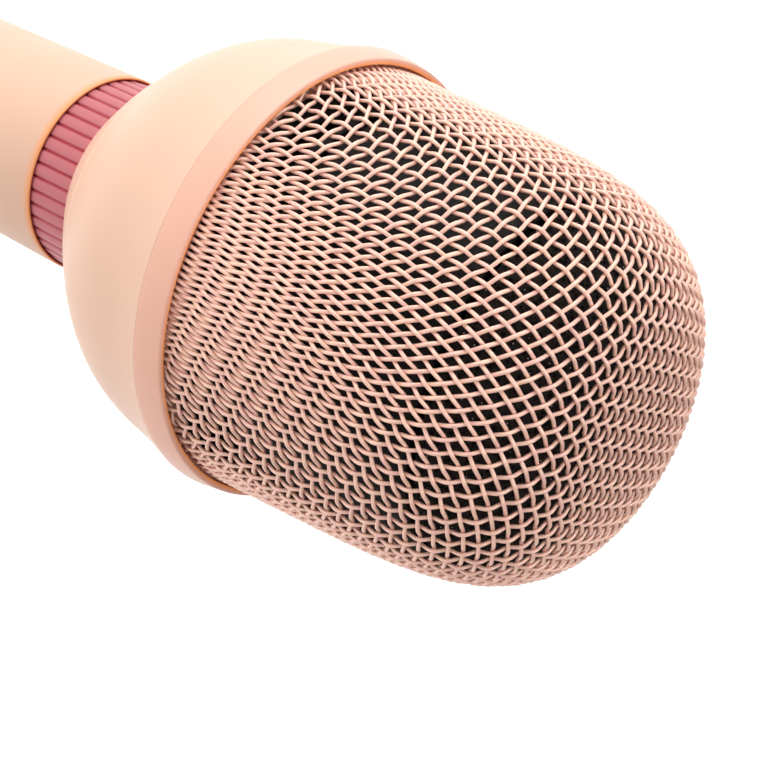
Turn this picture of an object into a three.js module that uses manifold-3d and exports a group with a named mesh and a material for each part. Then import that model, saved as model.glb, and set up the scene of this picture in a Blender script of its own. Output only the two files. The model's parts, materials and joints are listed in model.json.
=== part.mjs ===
// Karaoke microphone: a handle with a control panel and a battery, a bell-shaped head with a
// speaker that faces the tip, a microphone capsule on a tower over it, and a deep woven grille
// that unscrews. Millimetres, +Z from the butt of the handle to the tip of the grille.
// The controls face -Y and the charging sockets face +Y.
import * as THREE from 'three';
import { mergeVertices } from 'three/addons/utils/BufferGeometryUtils.js';
import Module from 'manifold-3d';

const wasm = await Module();
wasm.setup();

// ---- Driving dimensions ----

const GAP = 0.3; // between pieces that touch
const ROUND_SEGMENTS = 32; // around the large turned pieces
const MEDIUM_SEGMENTS = 24; // around the pieces inside the head
const SMALL_SEGMENTS = 16; // around the small turned pieces

const HANDLE_TOP = 134.4;
const HANDLE_TOP_RADIUS = 19.6;
const HANDLE_TAPER = 0.0096; // radius lost for each mm towards the butt
const HANDLE_WALL = 2.2;
const CAP_HEIGHT = 10;
const BULKHEAD_Z = 17; // floor across the tube that the end cap screws into
const BULKHEAD_THICKNESS = 2;

const NECK_RADIUS = 18.9;
const NECK_TOP = 145.1;
const NECK_FLUTES = 44;
const FLUTE_DEPTH = 0.7;
const SPIGOT_RADIUS = 14.5; // tube of the head that passes down through the neck
const SPIGOT_WALL = 3;
const SPIGOT_BOTTOM = 124.5;

const BELL_BOTTOM_RADIUS = 20.3;
const BELL_TOP = 186.8;
const BELL_TOP_RADIUS = 41.7;
const BELL_HANDLES = [[43, 168.7], [36.7, 171.8]]; // radius and z of the handles of its cubic curve
const BELL_WALL = 2;
const LEDGE_TOP = 180.8; // the speaker stands on this ledge inside the bell
const LEDGE_HEIGHT = 2.5;
const LEDGE_RADIUS = 33.6;
const RECESS_BOTTOM = 183.1; // floor of the recess for the seal and the grille's skirt
const SEAL_BOTTOM = RECESS_BOTTOM + GAP;
const SKIRT_BOTTOM = 184.4;

const SPEAKER_FLANGE_RADIUS = 37.2;
const SPEAKER_FLANGE_THICKNESS = 1.6;
const SPEAKER_BACK = 152.7;
const POLE_TOP = 164.3;
const POLE_RADIUS = 5.5;
const MAGNET_RADIUS = 17;
const MAGNET_HEIGHT = 6.5;
const PLATE_THICKNESS = 2; // of the plate behind the magnet
const CONE_NECK = [7.1, 168.3]; // radius and z of the narrow end of the cone
const CONE_EDGE = [27.6, 181.2]; // and of its wide end
const CONE_SHEET = 0.8;
const HEAD_SCREW_ANGLES = [90, 210, 330];
const HEAD_SCREW_CIRCLE = 35.4;

const CUP_BOTTOM = 200; // the cup that holds the capsule over the speaker
const CUP_TOP = 238;
const CUP_BOTTOM_RADIUS = 35;
const CUP_TOP_RADIUS = 33.2;
const CUP_WALL = 1.6;
const CAPSULE_BOTTOM = 218;
const CAPSULE_TOP = 236;
const CAPSULE_RADIUS = 15;
const FOAM_RADIUS = 33;
const FOAM_CLEARANCE = 1.7; // under the mesh's outer surface

const RIM = 192; // where the band ends and the mesh begins
const RIM_RADIUS = 41;
const SKIRT_RADIUS = 39.1; // threaded skirt of the band, inside the bell
const MESH_RADIUS = 39.5;
const MESH_TAPER = 0.0515;
const MESH_HEIGHT = 65.8; // rim to tip
const MESH_SHOULDER = 5.42; // power that sets where the mesh side turns into the tip
const MESH_TIP_ROUNDNESS = 3.42; // power that sets how flat the tip is
const MESH_THICKNESS = 0.9;
const MESH_INSERTION = 2.5; // how far the mesh reaches down inside the band

const CONTROL_SPAN = [21, 91]; // ends of the control panel along the handle
const PANEL_HALF_WIDTH = 8.2;
const PANEL_THICKNESS = 1.85;
const FLUSH = 0.15; // how far the panel lies below the handle's surface
const CONTROL_STANDOFF = 0.75; // how far buttons stand out of the handle's surface
const FLANGE_Y = -15.6; // outer face of the flanges that keep the controls in
const FLANGE_THICKNESS = 0.7;
const STEM_TIP_Y = -13.3;
const BUTTONS = [
  { name: 'power_button', z: 79.5, radius: 3.9 },
  { name: 'play_button', z: 68, radius: 3.9 },
  { name: 'mode_button', z: 25, radius: 2.6 },
];
const ROCKERS = [
  { name: 'volume_rocker', z: 54.2 },
  { name: 'echo_rocker', z: 37.2 },
];
const ROCKER_RADIUS = 3.3;
const ROCKER_HALF_STRAIGHT = 3.6;
const ROCKER_PIVOT_Y = -14.2;
const ROCKER_SWITCH_OFFSET = 4.6;
const CONTROL_CLEARANCE = 0.35;
const LED_Z = 87;

const BUTTON_BOARD_Y = -10.4;
const BOARD_THICKNESS = 1.2;
const BOARD_SCREWS = [[5.9, 73.8], [-5.9, 45.5]]; // x and z of each
const MAIN_BOARD_Y = -6.9;

const CELL_RADIUS = 9.1;
const CELL_LENGTH = 65;
const CELL_BOTTOM = 48.4;
const CELL_Y = 4.8;

const PORT_CENTRE_Z = 30;
const PORT_POCKET_RADIUS = 5;
const PORT_HALF_STRAIGHT = 8.2;
const POCKET_DEPTH = 1.35;
const COVER_THICKNESS = 1.05;
const CHARGE_Z = 24.5;
const AUX_Z = 35.8;
const PORT_BOARD_Y = 8.2;

// ---- Materials ----

function finish(color, roughness, metalness = 0) {
  return new THREE.MeshStandardMaterial({ color, roughness, metalness });
}

const CREAM = finish(0xfde0c8, 0.45);
const BLUSH = finish(0xf6c6b8, 0.4);
const ROSE = finish(0xc8606c, 0.25);
const ROSE_WIRE = finish(0xf0b9a5, 0.4, 0.2);
const CHARCOAL = finish(0x302d2b, 0.6);
const FOAM = finish(0x151414, 0.95);
const RUBBER = finish(0x26221f, 0.8);
const PAPER = finish(0x3a3634, 0.9);
const MAGNET = finish(0x4a4a4c, 0.6, 0.5);
const STEEL = finish(0xb9bbbd, 0.35, 0.9);
const BRASS = finish(0xc9a24c, 0.35, 0.9);
const BOARD = finish(0x1f4a33, 0.5);
const CELL_WRAP = finish(0x3f6f9a, 0.4);
const BLUSH_RUBBER = finish(0xeebbaa, 0.7);
const LAMP = finish(0xfff4e6, 0.2);

// ---- Shape helpers ----

// Turns a profile of [radius, z] points about Z. The profile runs up the outside and back down
// the inside, or starts and ends on the axis.
function turned(profile, segments = ROUND_SEGMENTS) {
  const points = profile.map(([radius, z]) => new THREE.Vector2(radius, z));
  const geometry = new THREE.LatheGeometry(points, segments);
  geometry.rotateX(Math.PI / 2);
  return geometry;
}

function closed(profile) {
  return [...profile, profile[0]];
}

function ring(outer, inner, bottom, top, segments = ROUND_SEGMENTS) {
  const profile = closed([[inner, bottom], [outer, bottom], [outer, top], [inner, top]]);
  return turned(profile, segments);
}

function disc(radius, bottom, top, segments = SMALL_SEGMENTS) {
  return turned([[0, bottom], [radius, bottom], [radius, top], [0, top]], segments);
}

function box(xRange, yRange, zRange) {
  const ranges = [xRange, yRange, zRange];
  const geometry = new THREE.BoxGeometry(...ranges.map(([low, high]) => high - low));
  geometry.translate(...ranges.map(([low, high]) => (low + high) / 2));
  return geometry;
}

// A circle, or with halfStraight a shape with two round ends, in the plane of X and Z.
function outline(centreZ, radius, halfStraight = 0) {
  const shape = new THREE.Shape();
  if (halfStraight === 0) {
    shape.absarc(0, centreZ, radius, 0, 2 * Math.PI);
    return shape;
  }
  shape.absarc(0, centreZ + halfStraight, radius, 0, Math.PI);
  shape.absarc(0, centreZ - halfStraight, radius, Math.PI, 2 * Math.PI);
  return shape;
}

// Extrudes an outline in the plane of X and Z from lowY to highY.
function prism(shape, lowY, highY, curveSegments = 6) {
  const options = { depth: highY - lowY, bevelEnabled: false, curveSegments };
  const geometry = new THREE.ExtrudeGeometry(shape, options);
  geometry.rotateX(Math.PI / 2);
  geometry.translate(0, highY, 0);
  return geometry;
}

function rod(radius, lowY, highY, x, z, segments = 10) {
  const geometry = new THREE.CylinderGeometry(radius, radius, highY - lowY, segments);
  geometry.translate(x, (lowY + highY) / 2, z);
  return geometry;
}

function crossRod(radius, lowX, highX, y, z) {
  const geometry = new THREE.CylinderGeometry(radius, radius, highX - lowX, 10);
  geometry.rotateZ(Math.PI / 2);
  geometry.translate((lowX + highX) / 2, y, z);
  return geometry;
}

function placed(geometry, x, y, z) {
  geometry.translate(x, y, z);
  return geometry;
}

// ---- Joining and cutting ----

function toSolid(geometry) {
  const bare = new THREE.BufferGeometry();
  bare.setAttribute('position', geometry.getAttribute('position').clone());
  bare.setIndex(geometry.getIndex() ?? null);
  const merged = mergeVertices(bare, 1e-4);
  const index = merged.getIndex().array;
  const kept = [];
  for (let i = 0; i < index.length; i += 3) {
    const [a, b, c] = [index[i], index[i + 1], index[i + 2]];
    if (a !== b && b !== c && c !== a) {
      kept.push(a, b, c);
    }
  }
  const mesh = new wasm.Mesh({
    numProp: 3,
    vertProperties: new Float32Array(merged.getAttribute('position').array),
    triVerts: new Uint32Array(kept),
  });
  return new wasm.Manifold(mesh);
}

function fromSolid(solid) {
  const mesh = solid.getMesh();
  const geometry = new THREE.BufferGeometry();
  geometry.setAttribute('position', new THREE.BufferAttribute(mesh.vertProperties, mesh.numProp));
  geometry.setIndex(new THREE.BufferAttribute(mesh.triVerts, 1));
  geometry.computeVertexNormals();
  return geometry;
}

function joined(...geometries) {
  return geometries.map(toSolid).reduce((whole, piece) => whole.add(piece));
}

function cut(solid, ...geometries) {
  return geometries.map(toSolid).reduce((whole, piece) => whole.subtract(piece), solid);
}

// ---- The object ----

const microphone = new THREE.Group();

function addPiece(name, geometry, material) {
  const mesh = new THREE.Mesh(geometry, material);
  mesh.name = name;
  microphone.add(mesh);
}

// ---- Profiles that several pieces share ----

function handleRadius(z) {
  return HANDLE_TOP_RADIUS - HANDLE_TAPER * (HANDLE_TOP - z);
}

// The bell is nearly a cone at its foot and rounds up into the band.
const BELL_CURVE = new THREE.CubicBezierCurve(
  new THREE.Vector2(BELL_BOTTOM_RADIUS, NECK_TOP),
  new THREE.Vector2(...BELL_HANDLES[0]),
  new THREE.Vector2(...BELL_HANDLES[1]),
  new THREE.Vector2(BELL_TOP_RADIUS, BELL_TOP),
);

// Halves the curve's parameter range until the point at height z is found.
function bellRadius(z) {
  let low = 0;
  let high = 1;
  for (let halving = 0; halving < 30; halving += 1) {
    const middle = (low + high) / 2;
    if (BELL_CURVE.getPoint(middle).y < z) {
      low = middle;
    } else {
      high = middle;
    }
  }
  return BELL_CURVE.getPoint(low).x;
}

function meshRadius(height) {
  const side = MESH_RADIUS - MESH_TAPER * height;
  const tip = Math.max(0, 1 - (height / MESH_HEIGHT) ** MESH_SHOULDER);
  return side * tip ** (1 / MESH_TIP_ROUNDNESS);
}

// Heights from the rim to the tip, closer together where the mesh turns in.
function meshHeights(steps) {
  return Array.from({ length: steps + 1 }, (_, i) => MESH_HEIGHT * Math.sin((i / steps) * (Math.PI / 2)));
}

function range(count, low, high) {
  return Array.from({ length: count }, (_, i) => low + ((high - low) * i) / (count - 1));
}

// A band of the handle's skin between two depths below its surface.
function handleSkin(lowZ, highZ, outerDepth, innerDepth) {
  const profile = closed([
    [handleRadius(lowZ) - innerDepth, lowZ],
    [handleRadius(lowZ) - outerDepth, lowZ],
    [handleRadius(highZ) - outerDepth, highZ],
    [handleRadius(highZ) - innerDepth, highZ],
  ]);
  return turned(profile);
}

// A patch of the handle's skin on its front or its back.
function skinPatch(shape, side, outerDepth, innerDepth) {
  const [lowY, highY] = side === 'front' ? [-30, -8] : [8, 30];
  const skin = handleSkin(CAP_HEIGHT + 1, HANDLE_TOP - 5, outerDepth, innerDepth);
  return toSolid(skin).intersect(toSolid(prism(shape, lowY, highY)));
}

// ---- Handle ----

const PANEL_CENTRE = (CONTROL_SPAN[0] + CONTROL_SPAN[1]) / 2;
const PANEL_HALF_STRAIGHT = (CONTROL_SPAN[1] - CONTROL_SPAN[0]) / 2 - PANEL_HALF_WIDTH;
const END_SCREW_X = 11;
const FLANGE_BORE = SPIGOT_RADIUS + GAP;

// A disc round each of the two screws of the end cap.
function endScrewDiscs(radius, low, high) {
  return [-1, 1].map((side) => placed(disc(radius, low, high, 12), side * END_SCREW_X, 0, 0));
}

function handleTube() {
  const edge = 0.9;
  const inner = (z) => handleRadius(z) - HANDLE_WALL;
  const bulkheadTop = BULKHEAD_Z + BULKHEAD_THICKNESS;
  const flangeBottom = HANDLE_TOP - 4;
  const wireHole = 6;
  const profile = closed([
    [inner(CAP_HEIGHT), CAP_HEIGHT],
    [handleRadius(CAP_HEIGHT), CAP_HEIGHT],
    [HANDLE_TOP_RADIUS, HANDLE_TOP - edge],
    [HANDLE_TOP_RADIUS - edge / 3, HANDLE_TOP - edge / 3],
    [HANDLE_TOP_RADIUS - edge, HANDLE_TOP],
    [FLANGE_BORE, HANDLE_TOP],
    [FLANGE_BORE, flangeBottom],
    [inner(flangeBottom), flangeBottom],
    [inner(bulkheadTop), bulkheadTop],
    [wireHole, bulkheadTop],
    [wireHole, BULKHEAD_Z],
    [inner(BULKHEAD_Z), BULKHEAD_Z],
  ]);
  const bossTop = bulkheadTop + 8;
  const bosses = endScrewDiscs(2.8, bulkheadTop - 1, bossTop);
  const holes = endScrewDiscs(1.5, BULKHEAD_Z - 1, bossTop - 1);
  const window = prism(outline(PANEL_CENTRE, PANEL_HALF_WIDTH + GAP, PANEL_HALF_STRAIGHT), -30, -8);
  const pocket = fromSolid(skinPatch(
    outline(PORT_CENTRE_Z, PORT_POCKET_RADIUS, PORT_HALF_STRAIGHT), 'back', -2, POCKET_DEPTH));
  const chargeHole = box([-4.8, 4.8], [10, 25], [CHARGE_Z - 1.95, CHARGE_Z + 1.95]);
  const auxHole = rod(3.2, 10, 25, 0, AUX_Z, 16);
  return fromSolid(cut(joined(turned(profile), ...bosses), ...holes, window, pocket, chargeHole, auxHole));
}

function endCap() {
  const base = 16.8;
  const spigot = handleRadius(CAP_HEIGHT) - HANDLE_WALL - GAP;
  const profile = [
    [0, 0],
    [base, 0],
    [base + 1, 0.5],
    [handleRadius(2), 2],
    [handleRadius(CAP_HEIGHT), CAP_HEIGHT - GAP],
    [spigot, CAP_HEIGHT - GAP],
    [spigot, BULKHEAD_Z - GAP],
    [spigot - 1.7, BULKHEAD_Z - GAP],
    [spigot - 1.7, 4],
    [0, 4],
  ];
  const holes = [...endScrewDiscs(1.6, -1, 5), ...endScrewDiscs(2.7, -1, 2.6)];
  return fromSolid(cut(toSolid(turned(profile)), ...holes));
}

function endScrew(side) {
  const profile = [[0, 0.5], [2.3, 0.5], [2.3, 2.3], [1.2, 2.3], [1.2, 25], [0, 25]];
  return placed(turned(profile, 12), side * END_SCREW_X, 0, 0);
}

addPiece('handle_tube', handleTube(), CREAM);
addPiece('end_cap', endCap(), CREAM);
addPiece('end_cap_screw_left', endScrew(-1), STEEL);
addPiece('end_cap_screw_right', endScrew(1), STEEL);

// ---- Control panel ----

function rockerOutline(z, margin = 0) {
  return outline(z, ROCKER_RADIUS + margin, ROCKER_HALF_STRAIGHT);
}

function controlPanel() {
  const body = skinPatch(
    outline(PANEL_CENTRE, PANEL_HALF_WIDTH, PANEL_HALF_STRAIGHT), 'front', FLUSH, FLUSH + PANEL_THICKNESS);
  const bossY = [-16.5, BUTTON_BOARD_Y - GAP];
  const bosses = BOARD_SCREWS.map(([x, z]) => toSolid(rod(1.8, ...bossY, x, z)));
  const ears = ROCKERS.flatMap(({ z }) => [-1, 1].map((side) => {
    const xRange = side > 0 ? [5, 6.2] : [-6.2, -5];
    return toSolid(box(xRange, [-16.6, ROCKER_PIVOT_Y + 1.3], [z - 1.5, z + 1.5]));
  }));
  const whole = [...bosses, ...ears].reduce((solid, piece) => solid.add(piece), body);
  const buttonHoles = BUTTONS.map(({ z, radius }) => prism(outline(z, radius + CONTROL_CLEARANCE), -30, -15));
  const rockerHoles = ROCKERS.map(({ z }) => prism(rockerOutline(z, CONTROL_CLEARANCE), -30, -15));
  const ledHole = prism(outline(LED_Z, 1.7), -30, -15);
  const screwHoles = BOARD_SCREWS.map(([x, z]) => rod(1.15, -16, -10, x, z));
  const pinHoles = ROCKERS.map(({ z }) => crossRod(0.9, -8, 8, ROCKER_PIVOT_Y, z));
  return fromSolid(cut(whole, ...buttonHoles, ...rockerHoles, ledHole, ...screwHoles, ...pinHoles));
}

function controlTop(shape) {
  return skinPatch(shape, 'front', -CONTROL_STANDOFF, 3.4);
}

function button({ z, radius }) {
  const flange = prism(outline(z, radius + 0.8), FLANGE_Y, FLANGE_Y + FLANGE_THICKNESS);
  const core = prism(outline(z, radius), FLANGE_Y - 0.9, FLANGE_Y + 0.1);
  const stem = rod(1.4, FLANGE_Y + 0.1, STEM_TIP_Y, 0, z);
  return fromSolid(controlTop(outline(z, radius)).add(joined(core, flange, stem)));
}

function rocker({ z }) {
  const flange = prism(rockerOutline(z, 1), FLANGE_Y, FLANGE_Y + FLANGE_THICKNESS);
  const core = prism(rockerOutline(z), FLANGE_Y - 0.9, FLANGE_Y + 0.1);
  const lug = box([-1.6, 1.6], [FLANGE_Y + 0.1, ROCKER_PIVOT_Y + 1.3], [z - 1.9, z + 1.9]);
  const nubs = [-1, 1].map((side) => rod(1, FLANGE_Y + 0.1, STEM_TIP_Y, 0, z + side * ROCKER_SWITCH_OFFSET));
  const whole = controlTop(rockerOutline(z)).add(joined(core, flange, lug, ...nubs));
  return fromSolid(cut(whole, crossRod(0.9, -3, 3, ROCKER_PIVOT_Y, z)));
}

addPiece('control_panel', controlPanel(), BLUSH);
for (const spec of BUTTONS) {
  addPiece(spec.name, button(spec), ROSE);
}
for (const spec of ROCKERS) {
  addPiece(spec.name, rocker(spec), ROSE);
  addPiece(`${spec.name}_pin`, crossRod(0.6, -6.6, 6.6, ROCKER_PIVOT_Y, spec.z), STEEL);
}
addPiece('status_lens', rod(1.4, -handleRadius(LED_Z), -12.4, 0, LED_Z), LAMP);

// ---- Boards, switches and battery ----

function buttonBoard() {
  const plate = box([-7.2, 7.2], [BUTTON_BOARD_Y, BUTTON_BOARD_Y + BOARD_THICKNESS], [22.5, 90]);
  const holes = BOARD_SCREWS.map(([x, z]) => rod(1.2, -12, -8, x, z));
  return fromSolid(cut(toSolid(plate), ...holes));
}

function tactSwitch(z) {
  const backY = BUTTON_BOARD_Y - GAP;
  const body = box([-1.8, 1.8], [backY - 1.2, backY], [z - 1.8, z + 1.8]);
  const plunger = rod(0.9, backY - 1.7, backY - 1.1, 0, z);
  return fromSolid(joined(body, plunger));
}

function boardScrew([x, z]) {
  const headY = BUTTON_BOARD_Y + BOARD_THICKNESS + GAP;
  return fromSolid(joined(rod(1.9, headY, headY + 1.2, x, z), rod(0.8, -15, headY + 0.1, x, z)));
}

const SWITCHES = {
  power: BUTTONS[0].z,
  play: BUTTONS[1].z,
  volume_up: ROCKERS[0].z + ROCKER_SWITCH_OFFSET,
  volume_down: ROCKERS[0].z - ROCKER_SWITCH_OFFSET,
  echo_up: ROCKERS[1].z + ROCKER_SWITCH_OFFSET,
  echo_down: ROCKERS[1].z - ROCKER_SWITCH_OFFSET,
  mode: BUTTONS[2].z,
};

addPiece('button_board', buttonBoard(), BOARD);
for (const [name, z] of Object.entries(SWITCHES)) {
  addPiece(`${name}_switch`, tactSwitch(z), STEEL);
}
const ledBack = BUTTON_BOARD_Y - GAP;
addPiece('status_led', box([-1, 1], [ledBack - 0.9, ledBack], [LED_Z - 1, LED_Z + 1]), LAMP);
BOARD_SCREWS.forEach((spot, i) => addPiece(`board_screw_${i + 1}`, boardScrew(spot), STEEL));

const mainBoardBack = MAIN_BOARD_Y + BOARD_THICKNESS;
addPiece('main_board', box([-12.5, 12.5], [MAIN_BOARD_Y, mainBoardBack], [34, 122]), BOARD);
addPiece('bluetooth_module', box([-11.5, 1.5], [MAIN_BOARD_Y - 2.1, MAIN_BOARD_Y - GAP], [96, 118]), STEEL);
addPiece('amplifier_chip', box([3.5, 10.5], [MAIN_BOARD_Y - 1.7, MAIN_BOARD_Y - GAP], [98, 105]), CHARCOAL);

function batteryCell() {
  const shoulder = 0.8;
  const top = CELL_BOTTOM + CELL_LENGTH;
  const profile = [
    [0, CELL_BOTTOM],
    [CELL_RADIUS - shoulder, CELL_BOTTOM],
    [CELL_RADIUS, CELL_BOTTOM + shoulder],
    [CELL_RADIUS, top - 1.5 - shoulder],
    [CELL_RADIUS - shoulder, top - 1.5],
    [3, top - 1.5],
    [3, top],
    [0, top],
  ];
  return placed(turned(profile, SMALL_SEGMENTS), 0, CELL_Y, 0);
}

function batteryCradle() {
  const wall = 1.4;
  const inner = CELL_RADIUS + GAP;
  const outer = inner + wall;
  const endRoom = 1.9;
  const low = CELL_BOTTOM - endRoom - wall;
  const high = CELL_BOTTOM + CELL_LENGTH + endRoom + wall;
  const body = placed(disc(outer, low, high), 0, CELL_Y, 0);
  const hollow = placed(disc(inner, low + wall, high - wall), 0, CELL_Y, 0);
  const frontHalf = box([-20, 20], [-20, CELL_Y], [low - 1, high + 1]);
  return fromSolid(cut(toSolid(body), hollow, frontHalf));
}

function batteryContact(bottom) {
  const profile = [[0, bottom], [4, bottom], [4, bottom + 0.6], [1.8, bottom + 1.2], [0, bottom + 1.2]];
  return placed(turned(profile, 16), 0, CELL_Y + 4.3, 0);
}

addPiece('battery_cell', batteryCell(), CELL_WRAP);
addPiece('battery_cradle', batteryCradle(), CHARCOAL);
addPiece('battery_contact_low', batteryContact(CELL_BOTTOM - 1.55), BRASS);
addPiece('battery_contact_high', batteryContact(CELL_BOTTOM + CELL_LENGTH + GAP), BRASS);

// ---- Sockets and their cover ----

function portBoard() {
  return box([-9, 9], [PORT_BOARD_Y, PORT_BOARD_Y + BOARD_THICKNESS], [20.5, 43]);
}

const SOCKET_BACK = PORT_BOARD_Y + BOARD_THICKNESS + GAP;
const SOCKET_FACE = 16.8;

function chargeSocket() {
  const shell = box([-4.5, 4.5], [SOCKET_BACK, SOCKET_FACE], [CHARGE_Z - 1.65, CHARGE_Z + 1.65]);
  const slot = box([-4.15, 4.15], [SOCKET_BACK + 1.5, SOCKET_FACE + 1], [CHARGE_Z - 1.3, CHARGE_Z + 1.3]);
  const tongue = box([-3.3, 3.3], [SOCKET_BACK + 1, SOCKET_FACE - 0.8], [CHARGE_Z - 0.35, CHARGE_Z + 0.35]);
  return fromSolid(cut(toSolid(shell), slot).add(toSolid(tongue)));
}

function auxSocket() {
  const body = box([-3.2, 3.2], [SOCKET_BACK, 14.8], [AUX_Z - 3.2, AUX_Z + 3.2]);
  const nose = rod(2.8, 14.7, SOCKET_FACE, 0, AUX_Z, 16);
  const bore = rod(1.8, SOCKET_BACK + 1, SOCKET_FACE + 1, 0, AUX_Z, 16);
  return fromSolid(cut(joined(body, nose), bore));
}

function portCover() {
  const shape = outline(PORT_CENTRE_Z, PORT_POCKET_RADIUS - GAP, PORT_HALF_STRAIGHT);
  return fromSolid(skinPatch(shape, 'back', 0, COVER_THICKNESS));
}

addPiece('port_board', portBoard(), BOARD);
addPiece('charge_socket', chargeSocket(), STEEL);
addPiece('aux_socket', auxSocket(), CHARCOAL);
addPiece('port_cover', portCover(), BLUSH_RUBBER);

// ---- Neck ----

function neckRing() {
  const shape = new THREE.Shape();
  const land = Math.PI / NECK_FLUTES;
  for (let i = 0; i < NECK_FLUTES; i += 1) {
    const centre = (2 * Math.PI * i) / NECK_FLUTES;
    for (const [turn, radius] of [[-0.55, 0], [0.55, 0], [1, FLUTE_DEPTH]]) {
      const angle = centre + turn * land;
      const reach = NECK_RADIUS - radius;
      const point = [reach * Math.cos(angle), reach * Math.sin(angle)];
      if (i === 0 && turn === -0.55) {
        shape.moveTo(...point);
      } else {
        shape.lineTo(...point);
      }
    }
  }
  shape.closePath();
  const bore = new THREE.Path();
  bore.absarc(0, 0, FLANGE_BORE, 0, 2 * Math.PI, true);
  shape.holes.push(bore);
  const height = NECK_TOP - HANDLE_TOP - 2 * GAP;
  const extrusion = { depth: height, bevelEnabled: false, curveSegments: 20 };
  const geometry = new THREE.ExtrudeGeometry(shape, extrusion);
  return placed(geometry, 0, 0, HANDLE_TOP + GAP);
}

addPiece('neck_ring', neckRing(), ROSE);
addPiece('neck_nut', ring(17, FLANGE_BORE, 125.5, HANDLE_TOP - 4 - GAP), BRASS);

// ---- Head shell ----

function atAngle(geometry, radius, degrees) {
  const angle = THREE.MathUtils.degToRad(degrees);
  return placed(geometry, radius * Math.cos(angle), radius * Math.sin(angle), 0);
}

// One hole through the speaker's flange and what it is screwed to, at each head screw.
function headScrewHoles(radius) {
  return HEAD_SCREW_ANGLES.map((angle) => atAngle(disc(radius, 172, 190, 12), HEAD_SCREW_CIRCLE, angle));
}

function headShell() {
  const rimTop = BELL_TOP - GAP;
  const floorTop = NECK_TOP + BELL_WALL;
  const floorBend = 0.6;
  const outer = BELL_CURVE.getPoints(12).slice(1, -1).map((point) => [point.x, point.y]);
  const innerHeights = range(6, floorTop + floorBend, LEDGE_TOP - LEDGE_HEIGHT).reverse();
  const inner = (z) => bellRadius(z) - BELL_WALL;
  const bore = SPIGOT_RADIUS - SPIGOT_WALL;
  const profile = closed([
    [BELL_BOTTOM_RADIUS, NECK_TOP],
    ...outer,
    [bellRadius(rimTop), rimTop],
    [SKIRT_RADIUS + GAP, rimTop],
    [SKIRT_RADIUS + GAP, RECESS_BOTTOM],
    [inner(LEDGE_TOP), RECESS_BOTTOM],
    [inner(LEDGE_TOP), LEDGE_TOP],
    [LEDGE_RADIUS, LEDGE_TOP],
    [LEDGE_RADIUS, LEDGE_TOP - LEDGE_HEIGHT],
    ...innerHeights.map((z) => [inner(z), z]),
    [inner(floorTop + floorBend) - 2.5, floorTop],
    [bore, floorTop],
    [bore, SPIGOT_BOTTOM],
    [SPIGOT_RADIUS, SPIGOT_BOTTOM],
    [SPIGOT_RADIUS, NECK_TOP],
  ]);
  return fromSolid(cut(toSolid(turned(profile)), ...headScrewHoles(1.3)));
}

addPiece('head_shell', headShell(), CREAM);

// ---- Speaker ----

const SPEAKER_TOP = LEDGE_TOP + GAP + SPEAKER_FLANGE_THICKNESS;
const MAGNET_BOTTOM = SPEAKER_BACK + PLATE_THICKNESS + GAP;
const MAGNET_TOP = MAGNET_BOTTOM + MAGNET_HEIGHT;

function speakerBasket() {
  const bottom = POLE_TOP + GAP;
  const sheet = 1.5;
  const bore = 8;
  const foot = 16.5;
  const seat = 31.2;
  const flangeBottom = SPEAKER_TOP - SPEAKER_FLANGE_THICKNESS;
  const profile = closed([
    [bore, bottom],
    [foot, bottom],
    [28, 168.5],
    [seat + sheet, 177],
    [seat + sheet, flangeBottom],
    [SPEAKER_FLANGE_RADIUS, flangeBottom],
    [SPEAKER_FLANGE_RADIUS, SPEAKER_TOP],
    [seat, SPEAKER_TOP],
    [seat, 177.4],
    [26.9, 169.6],
    [foot - 1.1, bottom + sheet],
    [bore, bottom + sheet],
  ]);
  return fromSolid(cut(toSolid(turned(profile, MEDIUM_SEGMENTS)), ...headScrewHoles(1.6)));
}

// The plate behind the magnet and the pole that stands on it.
function backPlate() {
  const plateRadius = MAGNET_RADIUS - 1;
  const plateTop = SPEAKER_BACK + PLATE_THICKNESS;
  const profile = [
    [0, SPEAKER_BACK],
    [plateRadius, SPEAKER_BACK],
    [plateRadius, plateTop],
    [POLE_RADIUS, plateTop],
    [POLE_RADIUS, POLE_TOP],
    [0, POLE_TOP],
  ];
  return turned(profile, SMALL_SEGMENTS);
}

function cone() {
  const lower = [CONE_NECK, CONE_EDGE];
  const upper = lower.map(([radius, z]) => [radius, z + CONE_SHEET]).reverse();
  return turned(closed([...lower, ...upper]), MEDIUM_SEGMENTS);
}

function dustCap() {
  const rimHeight = CONE_NECK[1] + 2.7;
  const sheet = 0.6;
  const radius = 9.6;
  const rise = 2.6;
  const angles = range(5, 0, Math.PI / 2);
  const arch = (base) => angles.map((a) => [radius * Math.max(0, Math.cos(a)), base + rise * Math.sin(a)]);
  const inner = arch(rimHeight).reverse();
  const outer = arch(rimHeight + sheet);
  inner[0][0] = 0;
  outer[4][0] = 0;
  return turned([...inner, ...outer], SMALL_SEGMENTS);
}

// A half roll of rubber that joins the cone's edge to the flange.
function surround() {
  const middle = 30;
  const reach = 3;
  const sheet = 0.6;
  const base = SPEAKER_TOP + GAP;
  const angles = range(5, 0, Math.PI);
  const arch = (radius) => angles.map((a) => [middle + radius * Math.cos(a), base + radius * Math.sin(a)]);
  return turned(closed([...arch(reach), ...arch(reach - sheet).reverse()]), MEDIUM_SEGMENTS);
}

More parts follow.
